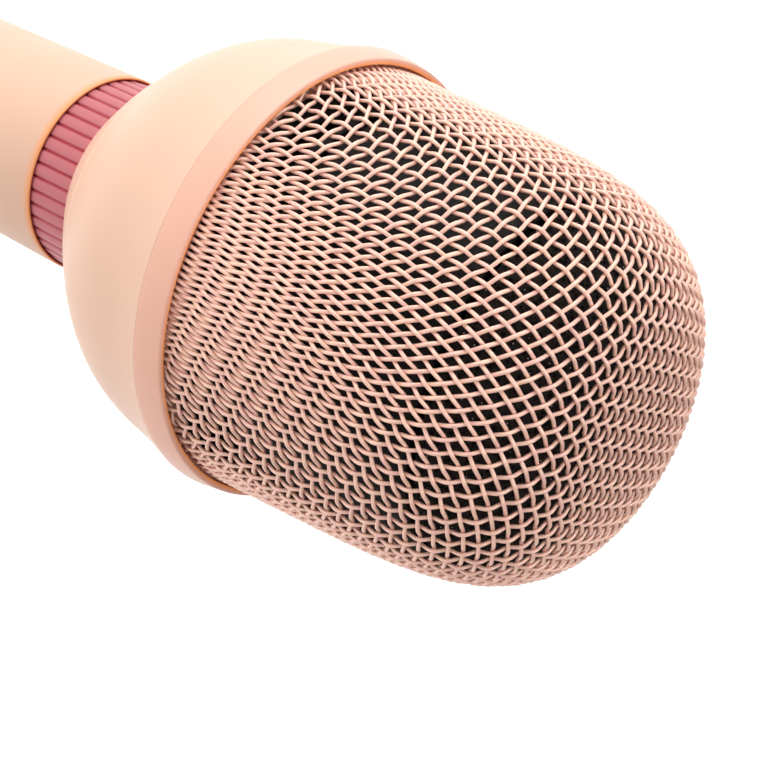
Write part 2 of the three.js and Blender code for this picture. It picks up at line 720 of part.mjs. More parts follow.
addPiece('speaker_basket', speakerBasket(), CHARCOAL);
addPiece('speaker_back_plate', backPlate(), STEEL);
addPiece('speaker_magnet', ring(MAGNET_RADIUS, 9, MAGNET_BOTTOM, MAGNET_TOP, SMALL_SEGMENTS), MAGNET);
addPiece('speaker_top_plate', ring(15.5, 7.3, MAGNET_TOP + GAP, POLE_TOP, SMALL_SEGMENTS), STEEL);
addPiece('speaker_voice_coil', ring(6.8, 5.9, 158, CONE_NECK[1] - GAP, SMALL_SEGMENTS), BRASS);
addPiece('speaker_cone', cone(), PAPER);
addPiece('speaker_dust_cap', dustCap(), CHARCOAL);
addPiece('speaker_surround', surround(), RUBBER);

// ---- Capsule tower ----

const FRAME_BOTTOM = SPEAKER_TOP + GAP;
const FRAME_THICKNESS = 2;

// A ring that clamps the speaker, with three legs that carry a smaller ring over it.
function towerFrame() {
  const seat = CUP_BOTTOM - GAP;
  const legRange = [LEDGE_RADIUS, LEDGE_RADIUS + 2];
  const legHalfWidth = 3;
  const base = ring(SPEAKER_FLANGE_RADIUS, LEDGE_RADIUS, FRAME_BOTTOM, FRAME_BOTTOM + FRAME_THICKNESS);
  const top = ring(CUP_BOTTOM_RADIUS, 30, seat - FRAME_THICKNESS, seat);
  const legs = [30, 150, 270].map((degrees) => {
    const leg = box(legRange, [-legHalfWidth, legHalfWidth], [FRAME_BOTTOM + 0.5, seat - 0.5]);
    leg.rotateZ(THREE.MathUtils.degToRad(degrees));
    return leg;
  });
  return fromSolid(cut(joined(base, top, ...legs), ...headScrewHoles(1.6)));
}

function headScrew(angle) {
  const seat = FRAME_BOTTOM + FRAME_THICKNESS + GAP;
  const head = 1.3;
  const profile = [[0, 173], [1, 173], [1, seat], [1.7, seat], [1.7, seat + head], [0, seat + head]];
  return atAngle(turned(profile, 12), HEAD_SCREW_CIRCLE, angle);
}

function capsuleCup() {
  const corner = 1.5;
  const wireHole = 4;
  const profile = closed([
    [wireHole, CUP_BOTTOM],
    [CUP_BOTTOM_RADIUS - corner, CUP_BOTTOM],
    [CUP_BOTTOM_RADIUS, CUP_BOTTOM + corner],
    [CUP_TOP_RADIUS, CUP_TOP],
    [CUP_TOP_RADIUS - CUP_WALL, CUP_TOP],
    [CUP_BOTTOM_RADIUS - CUP_WALL, CUP_BOTTOM + CUP_WALL],
    [wireHole, CUP_BOTTOM + CUP_WALL],
  ]);
  return turned(profile, MEDIUM_SEGMENTS);
}

// A rubber web between the cup and the capsule.
function capsuleMount() {
  const outer = CUP_TOP_RADIUS - CUP_WALL - GAP;
  const low = CAPSULE_BOTTOM + 9;
  return ring(outer, CAPSULE_RADIUS + GAP, low, low + 3, MEDIUM_SEGMENTS);
}

function capsule() {
  const tailRadius = 10;
  const shoulder = CAPSULE_BOTTOM + 5;
  const profile = [
    [0, CAPSULE_BOTTOM],
    [tailRadius, CAPSULE_BOTTOM],
    [tailRadius, shoulder],
    [CAPSULE_RADIUS, shoulder],
    [CAPSULE_RADIUS, CAPSULE_TOP - 1],
    [CAPSULE_RADIUS - 1, CAPSULE_TOP],
    [0, CAPSULE_TOP],
  ];
  return turned(profile, SMALL_SEGMENTS);
}

// Open-cell foam that fills the tip over the capsule.
function capsuleFoam() {
  const low = CUP_TOP + GAP;
  const corner = 1;
  const top = range(7, 0.77, 0.995).map((part) => {
    const height = MESH_HEIGHT * part;
    return [meshRadius(height) - FOAM_CLEARANCE, RIM + height - FOAM_CLEARANCE];
  });
  const side = [[FOAM_RADIUS - corner, low], [FOAM_RADIUS, low + corner]];
  return turned([[0, low], ...side, ...top, [0, top[6][1] + 0.2]], MEDIUM_SEGMENTS);
}

addPiece('tower_frame', towerFrame(), CHARCOAL);
HEAD_SCREW_ANGLES.forEach((angle, i) => addPiece(`head_screw_${i + 1}`, headScrew(angle), STEEL));
addPiece('capsule_cup', capsuleCup(), CHARCOAL);
addPiece('capsule_mount', capsuleMount(), RUBBER);
addPiece('microphone_capsule', capsule(), STEEL);
addPiece('capsule_foam', capsuleFoam(), FOAM);

// ---- Grille ----

const SKIRT_BORE = 37.9;
const MESH_SEAT_BORE = 36.2; // inner edge of the flange that the mesh stands on
const MESH_SEAT_THICKNESS = 2.2;

function grilleBand() {
  const pocket = MESH_RADIUS + 0.35;
  const step = RIM - MESH_INSERTION;
  const profile = closed([
    [SKIRT_BORE, SKIRT_BOTTOM],
    [SKIRT_RADIUS, SKIRT_BOTTOM],
    [SKIRT_RADIUS, BELL_TOP],
    [BELL_TOP_RADIUS, BELL_TOP],
    [BELL_TOP_RADIUS, BELL_TOP + 1],
    [RIM_RADIUS, RIM],
    [pocket, RIM],
    [pocket, step],
    [MESH_SEAT_BORE, step],
    [MESH_SEAT_BORE, step - MESH_SEAT_THICKNESS],
    [SKIRT_BORE, step - MESH_SEAT_THICKNESS],
  ]);
  return turned(profile);
}

function grilleMesh() {
  const foot = RIM - MESH_INSERTION + GAP;
  const steps = 9;
  const heights = meshHeights(steps).slice(1, -1);
  const outer = heights.map((height) => [meshRadius(height), RIM + height]);
  const inner = heights.map((height) => {
    const scale = (MESH_HEIGHT - MESH_THICKNESS) / MESH_HEIGHT;
    return [meshRadius(height) - MESH_THICKNESS, RIM + height * scale];
  }).reverse();
  const profile = [
    [0, RIM + MESH_HEIGHT - MESH_THICKNESS],
    ...inner,
    [MESH_RADIUS - MESH_THICKNESS, foot],
    [MESH_RADIUS, foot],
    [MESH_RADIUS, RIM],
    ...outer,
    [0, RIM + MESH_HEIGHT],
  ];
  return turned(profile);
}

const grilleSeal = ring(SKIRT_RADIUS - 0.2, SKIRT_BORE - 0.1, SEAL_BOTTOM, SKIRT_BOTTOM - GAP);
addPiece('grille_seal', grilleSeal, RUBBER);
addPiece('grille_band', grilleBand(), BLUSH);
addPiece('grille_mesh', grilleMesh(), ROSE_WIRE);

export default microphone;
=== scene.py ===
import json
import math

import bmesh
import bpy
import numpy as np
from mathutils import Matrix, Vector, noise


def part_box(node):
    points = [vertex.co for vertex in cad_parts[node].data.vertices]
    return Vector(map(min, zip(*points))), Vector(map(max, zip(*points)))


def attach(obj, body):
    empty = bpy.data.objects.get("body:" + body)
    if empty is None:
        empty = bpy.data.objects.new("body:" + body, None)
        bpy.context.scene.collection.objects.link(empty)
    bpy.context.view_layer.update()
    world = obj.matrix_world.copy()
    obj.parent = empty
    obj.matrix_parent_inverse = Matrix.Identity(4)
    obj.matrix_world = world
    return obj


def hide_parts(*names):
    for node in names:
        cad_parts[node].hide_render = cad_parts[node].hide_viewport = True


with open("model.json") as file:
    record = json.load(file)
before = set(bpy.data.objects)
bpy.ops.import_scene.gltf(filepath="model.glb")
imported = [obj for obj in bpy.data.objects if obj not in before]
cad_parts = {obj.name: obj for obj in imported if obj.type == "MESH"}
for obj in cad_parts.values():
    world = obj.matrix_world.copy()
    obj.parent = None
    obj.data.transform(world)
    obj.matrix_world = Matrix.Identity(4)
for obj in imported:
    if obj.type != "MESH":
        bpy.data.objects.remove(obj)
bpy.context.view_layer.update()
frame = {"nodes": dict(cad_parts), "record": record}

# Millimetres in the working code; build_mesh turns them into Blender's metres.
MM = 0.001
TAU = 2 * math.pi
SMOOTH_ANGLE = math.radians(32)  # edges that turn by more stay sharp
CORNER_ANGLE = math.radians(30)  # corners of a profile that turn by more are rounded
GAP = 0.3  # between pieces that touch in the CAD model
SEAM = 0.06  # the same joint as it shows on the outside


def low(node):
    return np.array(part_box(node)[0]) / MM


def high(node):
    return np.array(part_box(node)[1]) / MM


def middle(node):
    return (low(node) + high(node)) / 2


def half_span(node):
    return (high(node) - low(node)) / 2


# ---- Sizes, read from the frame ----

HANDLE_BOTTOM = low("handle_tube")[2]
HANDLE_TOP = high("handle_tube")[2]
HANDLE_RADIUS = high("handle_tube")[0]
HANDLE_TAPER = (HANDLE_RADIUS - high("end_cap")[0]) / (HANDLE_TOP - HANDLE_BOTTOM)

BULKHEAD = (17.0, 19.0)  # floor across the tube that the end cap screws into
RIM_RECESS = 1.4  # depth of the recess between the handle's rim and the neck ring

NECK_TOP = high("neck_ring")[2]
NECK_RADIUS = high("neck_ring")[0]
NECK_BORE = 14.8
NECK_FLUTES = 44
FLUTE_DEPTH = 0.36
FLUTE_HALF_WIDTH = 0.17  # of the spacing
FLUTE_FADE = 1.8  # length over which the flutes run out under the bell
LAND_CROWN = 0.1

BELL_BOTTOM = NECK_TOP + GAP
BELL_BOTTOM_RADIUS = 20.3
BELL_HANDLES = ((43.0, 168.7), (36.7, 171.8))  # radius and z of the handles of its cubic curve
COLLAR_HEIGHT = 10.6  # of the collar round the bell's foot, up to a soft groove
GROOVE_DEPTH = 0.3
GROOVE_WIDTH = 1.0
BAND_BOTTOM = high("head_shell")[2] + GAP
BAND_RADIUS = high("grille_band")[0]
RIM = high("grille_band")[2]
RIM_RADIUS = 41.0

MESH_RADIUS = high("grille_mesh")[0]
MESH_TIP = high("grille_mesh")[2]
MESH_TAPER = 0.0515
MESH_SHOULDER = 5.42
MESH_TIP_ROUNDNESS = 3.42

# The control panel and the pocket over the sockets are shapes with two round ends.
PANEL_RADIUS = high("control_panel")[0]
PANEL_CENTRE = middle("control_panel")[2]
PANEL_STRAIGHT = half_span("control_panel")[2] - PANEL_RADIUS
PANEL_DEPTH = 0.15  # below the handle's surface
PANEL_THICKNESS = 1.85
COVER_RADIUS = high("port_cover")[0]
COVER_CENTRE = middle("port_cover")[2]
COVER_STRAIGHT = half_span("port_cover")[2] - COVER_RADIUS
COVER_DEPTH = 0.05
COVER_THICKNESS = 1.05
POCKET_DEPTH = 1.35
CONTROL_STANDOFF = 0.75  # of the buttons, out of the handle's surface
FLANGE_Y = -15.6  # outer face of the flanges under the panel
FLANGE_THICKNESS = 0.7
HOLE_CLEARANCE = 0.35
HOLE_CHAMFER = 0.35
HOLE_END = -14.5  # inner end, in Y, of what cuts the panel's openings
POST_FRONT = -16.5  # front end, in Y, of the posts behind the panel
EAR_FRONT = -16.6  # and of the ears that hold the rockers' pins
KEY_FILLET = 0.6
PIN_HOLE_RADIUS = 0.75
MARK_HEIGHT = 0.14
MARK_ROOT = 0.3  # depth that a mark reaches into its key

# ---- The woven wire ----

WIRE_RADIUS = 0.345
WIRE_PITCH = 2.33  # flat cloth, before it is drawn into a dome
WEAVE_TURN = math.radians(145.1)  # direction of the first family of wires at the tip
WEAVE_CENTRE = (0.224, 0.11)  # where the tip falls between wires, in pitches
DRAW_GATHER = 0.15  # how much the cloth gathers towards the rim
DRAW_SQUARE = 0.105  # how much more it gathers between the wire directions than along them
DRAW_SHEAR = 0.155  # how far it turns towards the wire directions
WIRE_TAIL = 1.9  # length of wire below the rim, inside the band
STEPS_PER_PITCH = 6
WIRE_SIDES = 8

# ---- The camera ----

CAMERA_LENS = 90.5
CAMERA_TILT = math.radians(57.85)  # between the microphone's axis and the view's axis
CAMERA_ROLL = math.radians(27.22)  # of the microphone's axis below the picture's horizontal
RIM_FROM_CAMERA = Vector((-8.93, -16.88, 336.3))  # right, down and ahead

# ---- The studio, in metres and watts ----

LIGHTS = {
    # name: how far up, right and back it stands, its distance, its width and its power
    "key": ((0.9, 0.1, 0.35), 0.6, 0.45, 2.3),
    "side": ((0.1, 0.75, 0.5), 0.9, 0.6, 3.2),
    "front": ((-0.4, 0.5, 1.0), 0.9, 0.6, 2.8),
}
LIT_POINT = Vector((0, 0, 0.2))  # what the lights point at
SKY = ((0.14, 0.88), (0.28, 0.27))  # height over the horizon and brightness, low and high
FLOOR_HALF_WIDTH = 6.0
FLOOR_DROP = 0.0002
FLOOR_GLOW = 0.68


# ---- Mesh building ----

def turn_out(mesh):
    """Makes the faces of a closed mesh look outwards."""
    shell = bmesh.new()
    shell.from_mesh(mesh)
    inside_out = shell.calc_volume(signed=True) < 0
    shell.free()
    if inside_out:
        mesh.flip_normals()


def new_object(name, data):
    thing = bpy.data.objects.new(name, data)
    bpy.context.collection.objects.link(thing)
    return thing


def build_mesh(name, vertices, faces, smooth_angle=SMOOTH_ANGLE):
    """Makes an object from vertices in millimetres, shaded smooth except over sharp edges."""
    mesh = bpy.data.meshes.new(name)
    mesh.from_pydata([tuple(v) for v in np.asarray(vertices, float) * MM], [], faces)
    mesh.validate()
    mesh.update()
    turn_out(mesh)
    mesh.polygons.foreach_set("use_smooth", [True] * len(mesh.polygons))
    if smooth_angle:
        mesh.set_sharp_from_angle(angle=smooth_angle)
    return new_object(name, mesh)


def around(count, start=0.0):
    """Angles of evenly spaced points on a circle."""
    return (np.arange(count) + start) * TAU / count


def ring(radius, angles, z):
    return np.c_[radius * np.cos(angles), radius * np.sin(angles), np.full(len(angles), z)]


def grid_faces(rows, columns, closed_rows=False):
    """Quads over a grid whose columns close on themselves."""
    faces = []
    last = rows if closed_rows else rows - 1
    for row in range(last):
        upper = (row + 1) % rows
        for column in range(columns):
            right = (column + 1) % columns
            faces.append((row * columns + column, row * columns + right,
                          upper * columns + right, upper * columns + column))
    return faces


def arc(radius, angles, x=0.0, y=0.0):
    """Points of an arc in a plane."""
    return [(x + radius * math.cos(a), y + radius * math.sin(a)) for a in angles]


def tube_faces(rows, columns):
    """The quads of a tube and the two faces that close its ends."""
    last = (rows - 1) * columns
    ends = [tuple(range(columns - 1, -1, -1)), tuple(last + k for k in range(columns))]
    return grid_faces(rows, columns) + ends


def rounded(points, radii):
    """Rounds corners of a profile: radii maps a point's index to a radius."""
    steps = 4
    result = []
    for i, point in enumerate(points):
        radius = radii.get(i, 0)
        if not radius:
            result.append(point)
            continue
        before = points[i - 1] - point
        after = points[(i + 1) % len(points)] - point
        start = point + before / np.linalg.norm(before) * radius
        end = point + after / np.linalg.norm(after) * radius
        for k in range(steps + 1):
            t = k / steps
            result.append((1 - t) ** 2 * start + 2 * t * (1 - t) * point + t * t * end)
    return result


def filleted(profile, radius, seam=None):
    """Rounds every real corner of a profile. Corners on the outside at the height of a seam stay
    nearly sharp."""
    points = [np.array(p, float) for p in profile]
    radii = {}
    for i, point in enumerate(points):
        if point[0] < 1e-6:
            continue
        before = point - points[i - 1]
        after = points[(i + 1) % len(points)] - point
        turn = math.atan2(before[0] * after[1] - before[1] * after[0], before @ after)
        if abs(turn) > CORNER_ANGLE:
            room = 0.35 * min(np.linalg.norm(before), np.linalg.norm(after))
            radii[i] = min(radius, room)
            if seam is not None and abs(point[1] - seam) < 0.1 and point[0] > BAND_RADIUS - 0.2:
                radii[i] = 0.07
    return rounded(points, radii)


def turned_profile(node, azimuth=0.0):
    """The section of a turned CAD node in the half plane at an azimuth, as (radius, z)."""
    mesh = frame["nodes"][node].data
    points = np.array([tuple(v.co) for v in mesh.vertices]) / MM
    centre = (points.min(0) + points.max(0)) / 2
    toward = np.array((math.cos(azimuth), math.sin(azimuth)))
    offset = points[:, :2] - centre[:2]
    radius = offset @ toward
    aside = offset @ np.array((-toward[1], toward[0]))
    corner_of = {}
    corners = []
    for i in np.flatnonzero((abs(aside) < 2e-3) & (radius > -1e-3)):
        place = (round(max(0.0, radius[i]), 2), round(points[i, 2], 2))
        if place not in corners:
            corners.append(place)
        corner_of[i] = corners.index(place)
    links = {i: set() for i in range(len(corners))}
    for edge in mesh.edges:
        ends = [corner_of.get(v) for v in edge.vertices]
        if None not in ends and ends[0] != ends[1]:
            links[ends[0]].add(ends[1])
            links[ends[1]].add(ends[0])
    ends = [i for i in links if len(links[i]) == 1]
    order = [min(ends or links, key=lambda i: (corners[i][1], corners[i][0]))]
    while len(order) < len(corners):
        order.append(min(i for i in links[order[-1]] if i not in order))
    profile = np.array([corners[i] for i in order])
    r, z = profile.T
    area = np.sum(r * np.roll(z, -1) - np.roll(r, -1) * z)
    if area < 0:
        profile = profile[::-1]
    return profile, centre[:2]


def lathe_data(profile, segments):
    """Turns a profile of (radius, z) about Z. It runs up the outside, and is closed, or starts and
    ends on the axis."""
    profile = [np.array(p, float) for p in profile]
    solid = profile[0][0] < 1e-9
    body = profile[1:-1] if solid else profile
    vertices = []
    for radius, z in body:
        vertices.extend(ring(radius, around(segments), z))
    faces = grid_faces(len(body), segments, closed_rows=not solid)
    if solid:
        bottom, top = len(vertices), len(vertices) + 1
        vertices.append((0, 0, profile[0][1]))
        vertices.append((0, 0, profile[-1][1]))
        last = (len(body) - 1) * segments
        for column in range(segments):
            right = (column + 1) % segments
            faces.append((bottom, right, column))
            faces.append((top, last + column, last + right))
    return np.array(vertices), faces


def lathe(name, profile, segments, centre=(0, 0)):
    vertices, faces = lathe_data(profile, segments)
    vertices[:, :2] += centre
    return build_mesh(name, vertices, faces)


def upright_rod(name, radius, bottom, top, x):
    return lathe(name, [(0, bottom), (radius, bottom), (radius, top), (0, top)], 32, (x, 0))


def loft(name, centre_z, radius, straight, levels, sides=96, back=False):
    """A pad with two round ends that faces -Y, or +Y for the back. Each level is how far its outline
    is drawn in and its Y, a number or a function of x and z. Levels run from inside out."""
    angles = around(sides, 0.5)
    shift = np.where(np.sin(angles) > 0, straight, -straight)
    rows = []
    for drawn_in, level in levels:
        reach = max(radius - drawn_in, 0.004)
        x = reach * np.cos(angles)
        z = centre_z + reach * np.sin(angles) + shift
        y = level(x, z) if callable(level) else np.full(sides, float(level))
        rows.append(np.c_[-x if back else x, -y if back else y, z])
    faces = [tuple(reversed(face)) for face in tube_faces(len(rows), sides)]
    return build_mesh(name, np.concatenate(rows), faces)


def skin(depth):
    """The handle's outer surface on the -Y side, at a depth below it."""
    return lambda x, z: -np.sqrt((handle_radius(z) - depth) ** 2 - x ** 2)


def rounded_top(surface, fillet, radius, rings=7):
    """Levels that turn a side wall into a top over a quarter circle, and fill the top in."""
    steps = 5
    levels = []
    for step in range(steps + 1):
        angle = step / steps * math.pi / 2
        drawn_in = fillet * (1 - math.cos(angle))
        drop = fillet * (1 - math.sin(angle))
        levels.append((drawn_in, lambda x, z, drop=drop: surface(x, z) + drop))
    for k in range(1, rings + 1):
        levels.append((fillet + (radius - fillet) * k / rings, surface))
    return levels


def rod(name, radius, low_y, high_y, x, z, sides=32):
    angles = around(sides)
    rows = [np.c_[x + radius * np.cos(angles), np.full(sides, y), z + radius * np.sin(angles)]
            for y in (high_y, low_y)]
    return build_mesh(name, np.concatenate(rows), tube_faces(2, sides))


def cross_rod(name, radius, half_length, y, z):
    """A rod along X."""
    piece = rod(name, radius, -half_length, half_length, 0, 0, 24)
    for vertex in piece.data.vertices:
        x_here, y_here, z_here = vertex.co
        vertex.co = (y_here, y * MM - x_here, z * MM + z_here)
    return piece


def block(name, low_corner, high_corner):
    corners = [(x, y, z) for x in (0, 1) for y in (0, 1) for z in (0, 1)]
    span = np.array([low_corner, high_corner], float)
    vertices = [(span[x][0], span[y][1], span[z][2]) for x, y, z in corners]
    faces = [(0, 1, 3, 2), (4, 6, 7, 5), (0, 4, 5, 1), (2, 3, 7, 6), (0, 2, 6, 4), (1, 5, 7, 3)]
    return build_mesh(name, vertices, faces)


def apply_modifiers(piece):
    """Bakes a piece's modifiers into its mesh."""
    graph = bpy.context.evaluated_depsgraph_get()
    mesh = bpy.data.meshes.new_from_object(piece.evaluated_get(graph))
    piece.modifiers.clear()
    piece.data = mesh
    mesh.polygons.foreach_set("use_smooth", [True] * len(mesh.polygons))
    mesh.set_sharp_from_angle(angle=SMOOTH_ANGLE)
    return piece


def combine(piece, others, operation):
    """Joins other pieces to a piece, or cuts them out of it, and deletes them."""
    for other in others:
        step = piece.modifiers.new(other.name, "BOOLEAN")
        step.object = other
        step.operation = operation
        step.solver = "MANIFOLD"
    apply_modifiers(piece)
    for other in others:
        bpy.data.objects.remove(other)
    return piece


# ---- Shapes of the microphone ----

def handle_radius(z):
    return HANDLE_RADIUS - HANDLE_TAPER * (HANDLE_TOP - z)


def bell_curve(steps):
    """Points of the bell's cubic curve, from its foot to the band, closest at its foot."""
    ends = (BELL_BOTTOM_RADIUS, BELL_BOTTOM), (BAND_RADIUS, BAND_BOTTOM)
    handles = np.array([ends[0], *BELL_HANDLES, ends[1]])
    t = np.linspace(0, 1, steps + 1)[:, None] ** 1.6
    weights = np.hstack([(1 - t) ** 3, 3 * t * (1 - t) ** 2, 3 * t * t * (1 - t), t ** 3])
    return weights @ handles


def dome_profile():
    """Distance from the tip along the mesh, with the radius and height there and the outward
    normal, down to the foot of the mesh inside the band."""
    height = MESH_TIP - RIM
    samples = 6001
    turn = np.linspace(0, math.pi / 2, samples)
    part = np.cos(turn) ** (2 / MESH_SHOULDER)
    rise = height * part
    radius = (MESH_RADIUS - MESH_TAPER * rise) * np.sin(turn) ** (2 / MESH_TIP_ROUNDNESS)
    foot = np.linspace(0, 2.4, 25)[1:]
    radius = np.r_[radius, np.full(len(foot), MESH_RADIUS)]
    rise = np.r_[rise, -foot]
    distance = np.r_[0, np.cumsum(np.hypot(np.diff(radius), np.diff(rise)))]
    even = np.linspace(0, distance[-1], 1201)
    radius = np.interp(even, distance, radius)
    rise = np.interp(even, distance, rise)
    along_r = np.gradient(radius, even)
    along_z = np.gradient(rise, even)
    length = np.hypot(along_r, along_z)
    rim_distance = distance[samples - 1]
    return even, radius, RIM + rise, -along_z / length, along_r / length, rim_distance


DOME = dome_profile()
RIM_DISTANCE = DOME[5]


def cloth_to_dome(x, y):
    """Where a point of the flat cloth lands on the dome: distance from the tip and direction."""
    flat_distance = np.hypot(x, y)
    flat_turn = np.arctan2(y, x)
    turn = flat_turn.copy()
    distance = flat_distance.copy()
    for _ in range(80):
        part = np.clip(distance / RIM_DISTANCE, 0, 1.2)
        shear = DRAW_SHEAR * np.sin(math.pi / 2 * np.clip(part, 0, 1) ** 1.5)
        turn = turn + 0.7 * (flat_turn + shear * np.sin(4 * turn) - turn)
        gather = 1 - part * (DRAW_GATHER - DRAW_SQUARE * np.cos(4 * turn))
        distance = distance + 0.7 * (flat_distance / gather - distance)
    return distance, turn


def on_dome(distance, turn, lift):
    """Point on the mesh's middle surface, lifted along the normal, and the normal there."""
    even, radius, z, normal_r, normal_z, _ = DOME
    inset = 2 * WIRE_RADIUS
    r_here, z_here, nr, nz = (np.interp(distance, even, v) for v in (radius, z, normal_r, normal_z))
    angle = turn + WEAVE_TURN
    reach = r_here + (lift - inset) * nr
    point = np.stack([reach * np.cos(angle), reach * np.sin(angle), z_here + (lift - inset) * nz], 1)
    normal = np.stack([nr * np.cos(angle), nr * np.sin(angle), nz], 1)
    return point, normal


def wire_tube(path, normal, radius, sides):
    """Ring vertices and faces of a round wire along a path, with closed ends."""
    tangent = np.gradient(path, axis=0)
    tangent /= np.linalg.norm(tangent, axis=1)[:, None]
    side = np.cross(tangent, normal)
    side /= np.linalg.norm(side, axis=1)[:, None]
    up = np.cross(side, tangent)
    angles = around(sides)
    rings = (path[:, None] + radius * (np.cos(angles)[None, :, None] * side[:, None]
             + np.sin(angles)[None, :, None] * up[:, None]))
    return rings.reshape(-1, 3), tube_faces(len(path), sides)


def woven_grille():
    """Two families of crimped wires, over and under each other, drawn over the dome."""
    reach = int(RIM_DISTANCE / WIRE_PITCH) + 2
    along = np.arange(-reach * STEPS_PER_PITCH, reach * STEPS_PER_PITCH + 1) / STEPS_PER_PITCH
    vertices = []
    faces = []
    start = 0
    for family in (0, 1):
        for wire in range(-reach, reach + 1):
            across = wire + 0.5
            crimp = math.cos(math.pi * wire) * np.sin(math.pi * along)
            if family == 0:
                column, row = np.full(len(along), across), along
                lift = WIRE_RADIUS * crimp
            else:
                column, row = along, np.full(len(along), across)
                lift = -WIRE_RADIUS * crimp
            flat_x = (column - WEAVE_CENTRE[0]) * WIRE_PITCH
            flat_y = -(row - WEAVE_CENTRE[1]) * WIRE_PITCH
            distance, turn = cloth_to_dome(flat_x, flat_y)
            kept = distance < RIM_DISTANCE + WIRE_TAIL
            if kept.sum() < 6:
                continue
            path, normal = on_dome(distance[kept], turn[kept], lift[kept])
            tube, quads = wire_tube(path, normal, WIRE_RADIUS, WIRE_SIDES)
            vertices.append(tube)
            faces.extend([tuple(index + start for index in quad) for quad in quads])
            start += len(tube)
    return build_mesh("woven_grille", np.concatenate(vertices), faces, smooth_angle=0)


# ---- Materials ----

MATERIALS = {}


class Look:
    """A node material, kept in MATERIALS: the shader, and short calls that add nodes before it."""

    def __init__(self, name, color, roughness, metallic=0.0):
        self.material = bpy.data.materials.new(name)
        self.material.use_nodes = True
        MATERIALS[name] = self.material
        self.tree = self.material.node_tree
        self.tree.nodes.clear()
        output = self.add("ShaderNodeOutputMaterial")
        self.shader = self.add("ShaderNodeBsdfPrincipled")
        self.join(self.shader.outputs[0], output.inputs[0])
        self.set(Base_Color=(*color, 1), Roughness=roughness, Metallic=metallic)
        self.place = self.add("ShaderNodeTexCoord").outputs["Object"]
        self.color = color

    def set(self, **values):
        """Sets the shader's inputs. In their names an underscore stands for a space."""
        for name, value in values.items():
            self.shader.inputs[name.replace("_", " ")].default_value = value

    def add(self, kind, **values):
        node = self.tree.nodes.new(kind)
        for name, value in values.items():
            node.inputs[name.replace("_", " ")].default_value = value
        return node

    def join(self, source, target):
        self.tree.links.new(source, target)

    def noise(self, cell, detail=3.0):
        """Noise whose features are about cell millimetres wide."""
        node = self.add("ShaderNodeTexNoise", Scale=1 / (cell * MM), Detail=detail)
        self.join(self.place, node.inputs["Vector"])
        return node.outputs["Fac"]

    def ramp(self, source, stops):
        """stops is a list of (position, colour)."""
        node = self.add("ShaderNodeValToRGB")
        self.join(source, node.inputs["Fac"])
        while len(node.color_ramp.elements) < len(stops):
            node.color_ramp.elements.new(0.5)
        for element, (position, color) in zip(node.color_ramp.elements, stops):
            element.position = position
            element.color = (*color, 1)
        return node.outputs["Color"]

    def between(self, source, low_in, high_in, low_out=0.0, high_out=1.0):
        node = self.add("ShaderNodeMapRange", From_Min=low_in, From_Max=high_in,
                        To_Min=low_out, To_Max=high_out)
        self.join(source, node.inputs["Value"])
        return node.outputs["Result"]

    def mix(self, factor, first, second):
        node = self.add("ShaderNodeMix")
        node.data_type = "RGBA"
        self.join(factor, node.inputs["Factor"])
        for value, socket in ((first, node.inputs[6]), (second, node.inputs[7])):
            if isinstance(value, tuple):
                socket.default_value = (*value, 1)
            else:
                self.join(value, socket)
        return node.outputs[2]

    def height(self):
        split = self.add("ShaderNodeSeparateXYZ")
        self.join(self.place, split.inputs[0])
        return split.outputs["Z"]

    def reach(self):
        """Distance from the microphone's axis."""
        flat = self.add("ShaderNodeVectorMath")
        flat.operation = "MULTIPLY"
        flat.inputs[1].default_value = (1, 1, 0)
        self.join(self.place, flat.inputs[0])
        length = self.add("ShaderNodeVectorMath")
        length.operation = "LENGTH"
        self.join(flat.outputs["Vector"], length.inputs[0])
        return length.outputs["Value"]

    def times(self, first, second):
        node = self.add("ShaderNodeMath")
        node.operation = "MULTIPLY"
        self.join(first, node.inputs[0])
        self.join(second, node.inputs[1])
        return node.outputs[0]

    def mottled(self, cell=14, spread=0.04):
        """The base colour, a little lighter and darker in broad soft patches."""
        darker = tuple(c * (1 - spread) for c in self.color)
        lighter = tuple(min(1, c * (1 + spread)) for c in self.color)
        return self.ramp(self.noise(cell), [(0.3, darker), (0.7, lighter)])

    def paint(self, source):
        self.join(source, self.shader.inputs["Base Color"])

    def roughen(self, cell, low_value, high_value):
        self.join(self.between(self.noise(cell), 0.3, 0.7, low_value, high_value),
                  self.shader.inputs["Roughness"])

    def bump(self, source, strength, depth):
        """Raises the surface by a height map, depth in millimetres."""
        node = self.add("ShaderNodeBump", Strength=strength, Distance=depth * MM)
        self.join(source, node.inputs["Height"])
        self.join(node.outputs[0], self.shader.inputs["Normal"])


def satin_paint(name, color, roughness, edges=()):
    """Sprayed plastic: faint orange peel, and painted light or shade near thin edges: a warm painted glow
    where light would come through the edge, or painted shade in a recess.
    Each edge is its height, where it fades out below that, its outer radius, and its colour."""
    look = Look(name, color, roughness)
    surface = look.mottled(spread=0.015)
    for top, bottom, radius, tint in edges:
        near_top = look.between(look.height(), bottom * MM, top * MM)
        within = look.between(look.reach(), radius * MM, (radius - 0.2) * MM)
        surface = look.mix(look.times(near_top, within), surface, tint)
    look.paint(surface)
    look.roughen(9, roughness - 0.03, roughness + 0.05)
    look.bump(look.noise(0.55, 2.0), 0.12, 0.05)
    look.set(Specular_IOR_Level=0.34, Coat_Weight=0.05, Coat_Roughness=0.22)


def fluted_plastic():
    """The neck ring: deep rose with painted shade in the grooves, and paler on the lands with a painted
    sheen.
    """
    look = Look("rose_flutes", ROSE, 0.34)
    painted_light_on_lands = look.between(look.reach(), (NECK_RADIUS - 0.45) * MM, (NECK_RADIUS - 0.05) * MM)
    # Painted shade darkens the grooves and a painted sheen lightens the lands.
    look.paint(look.mix(painted_light_on_lands, (0.46, 0.055, 0.08), (0.54, 0.155, 0.17)))
    look.roughen(3, 0.34, 0.44)
    look.set(Specular_IOR_Level=0.25, Coat_Weight=0.04, Coat_Roughness=0.3)


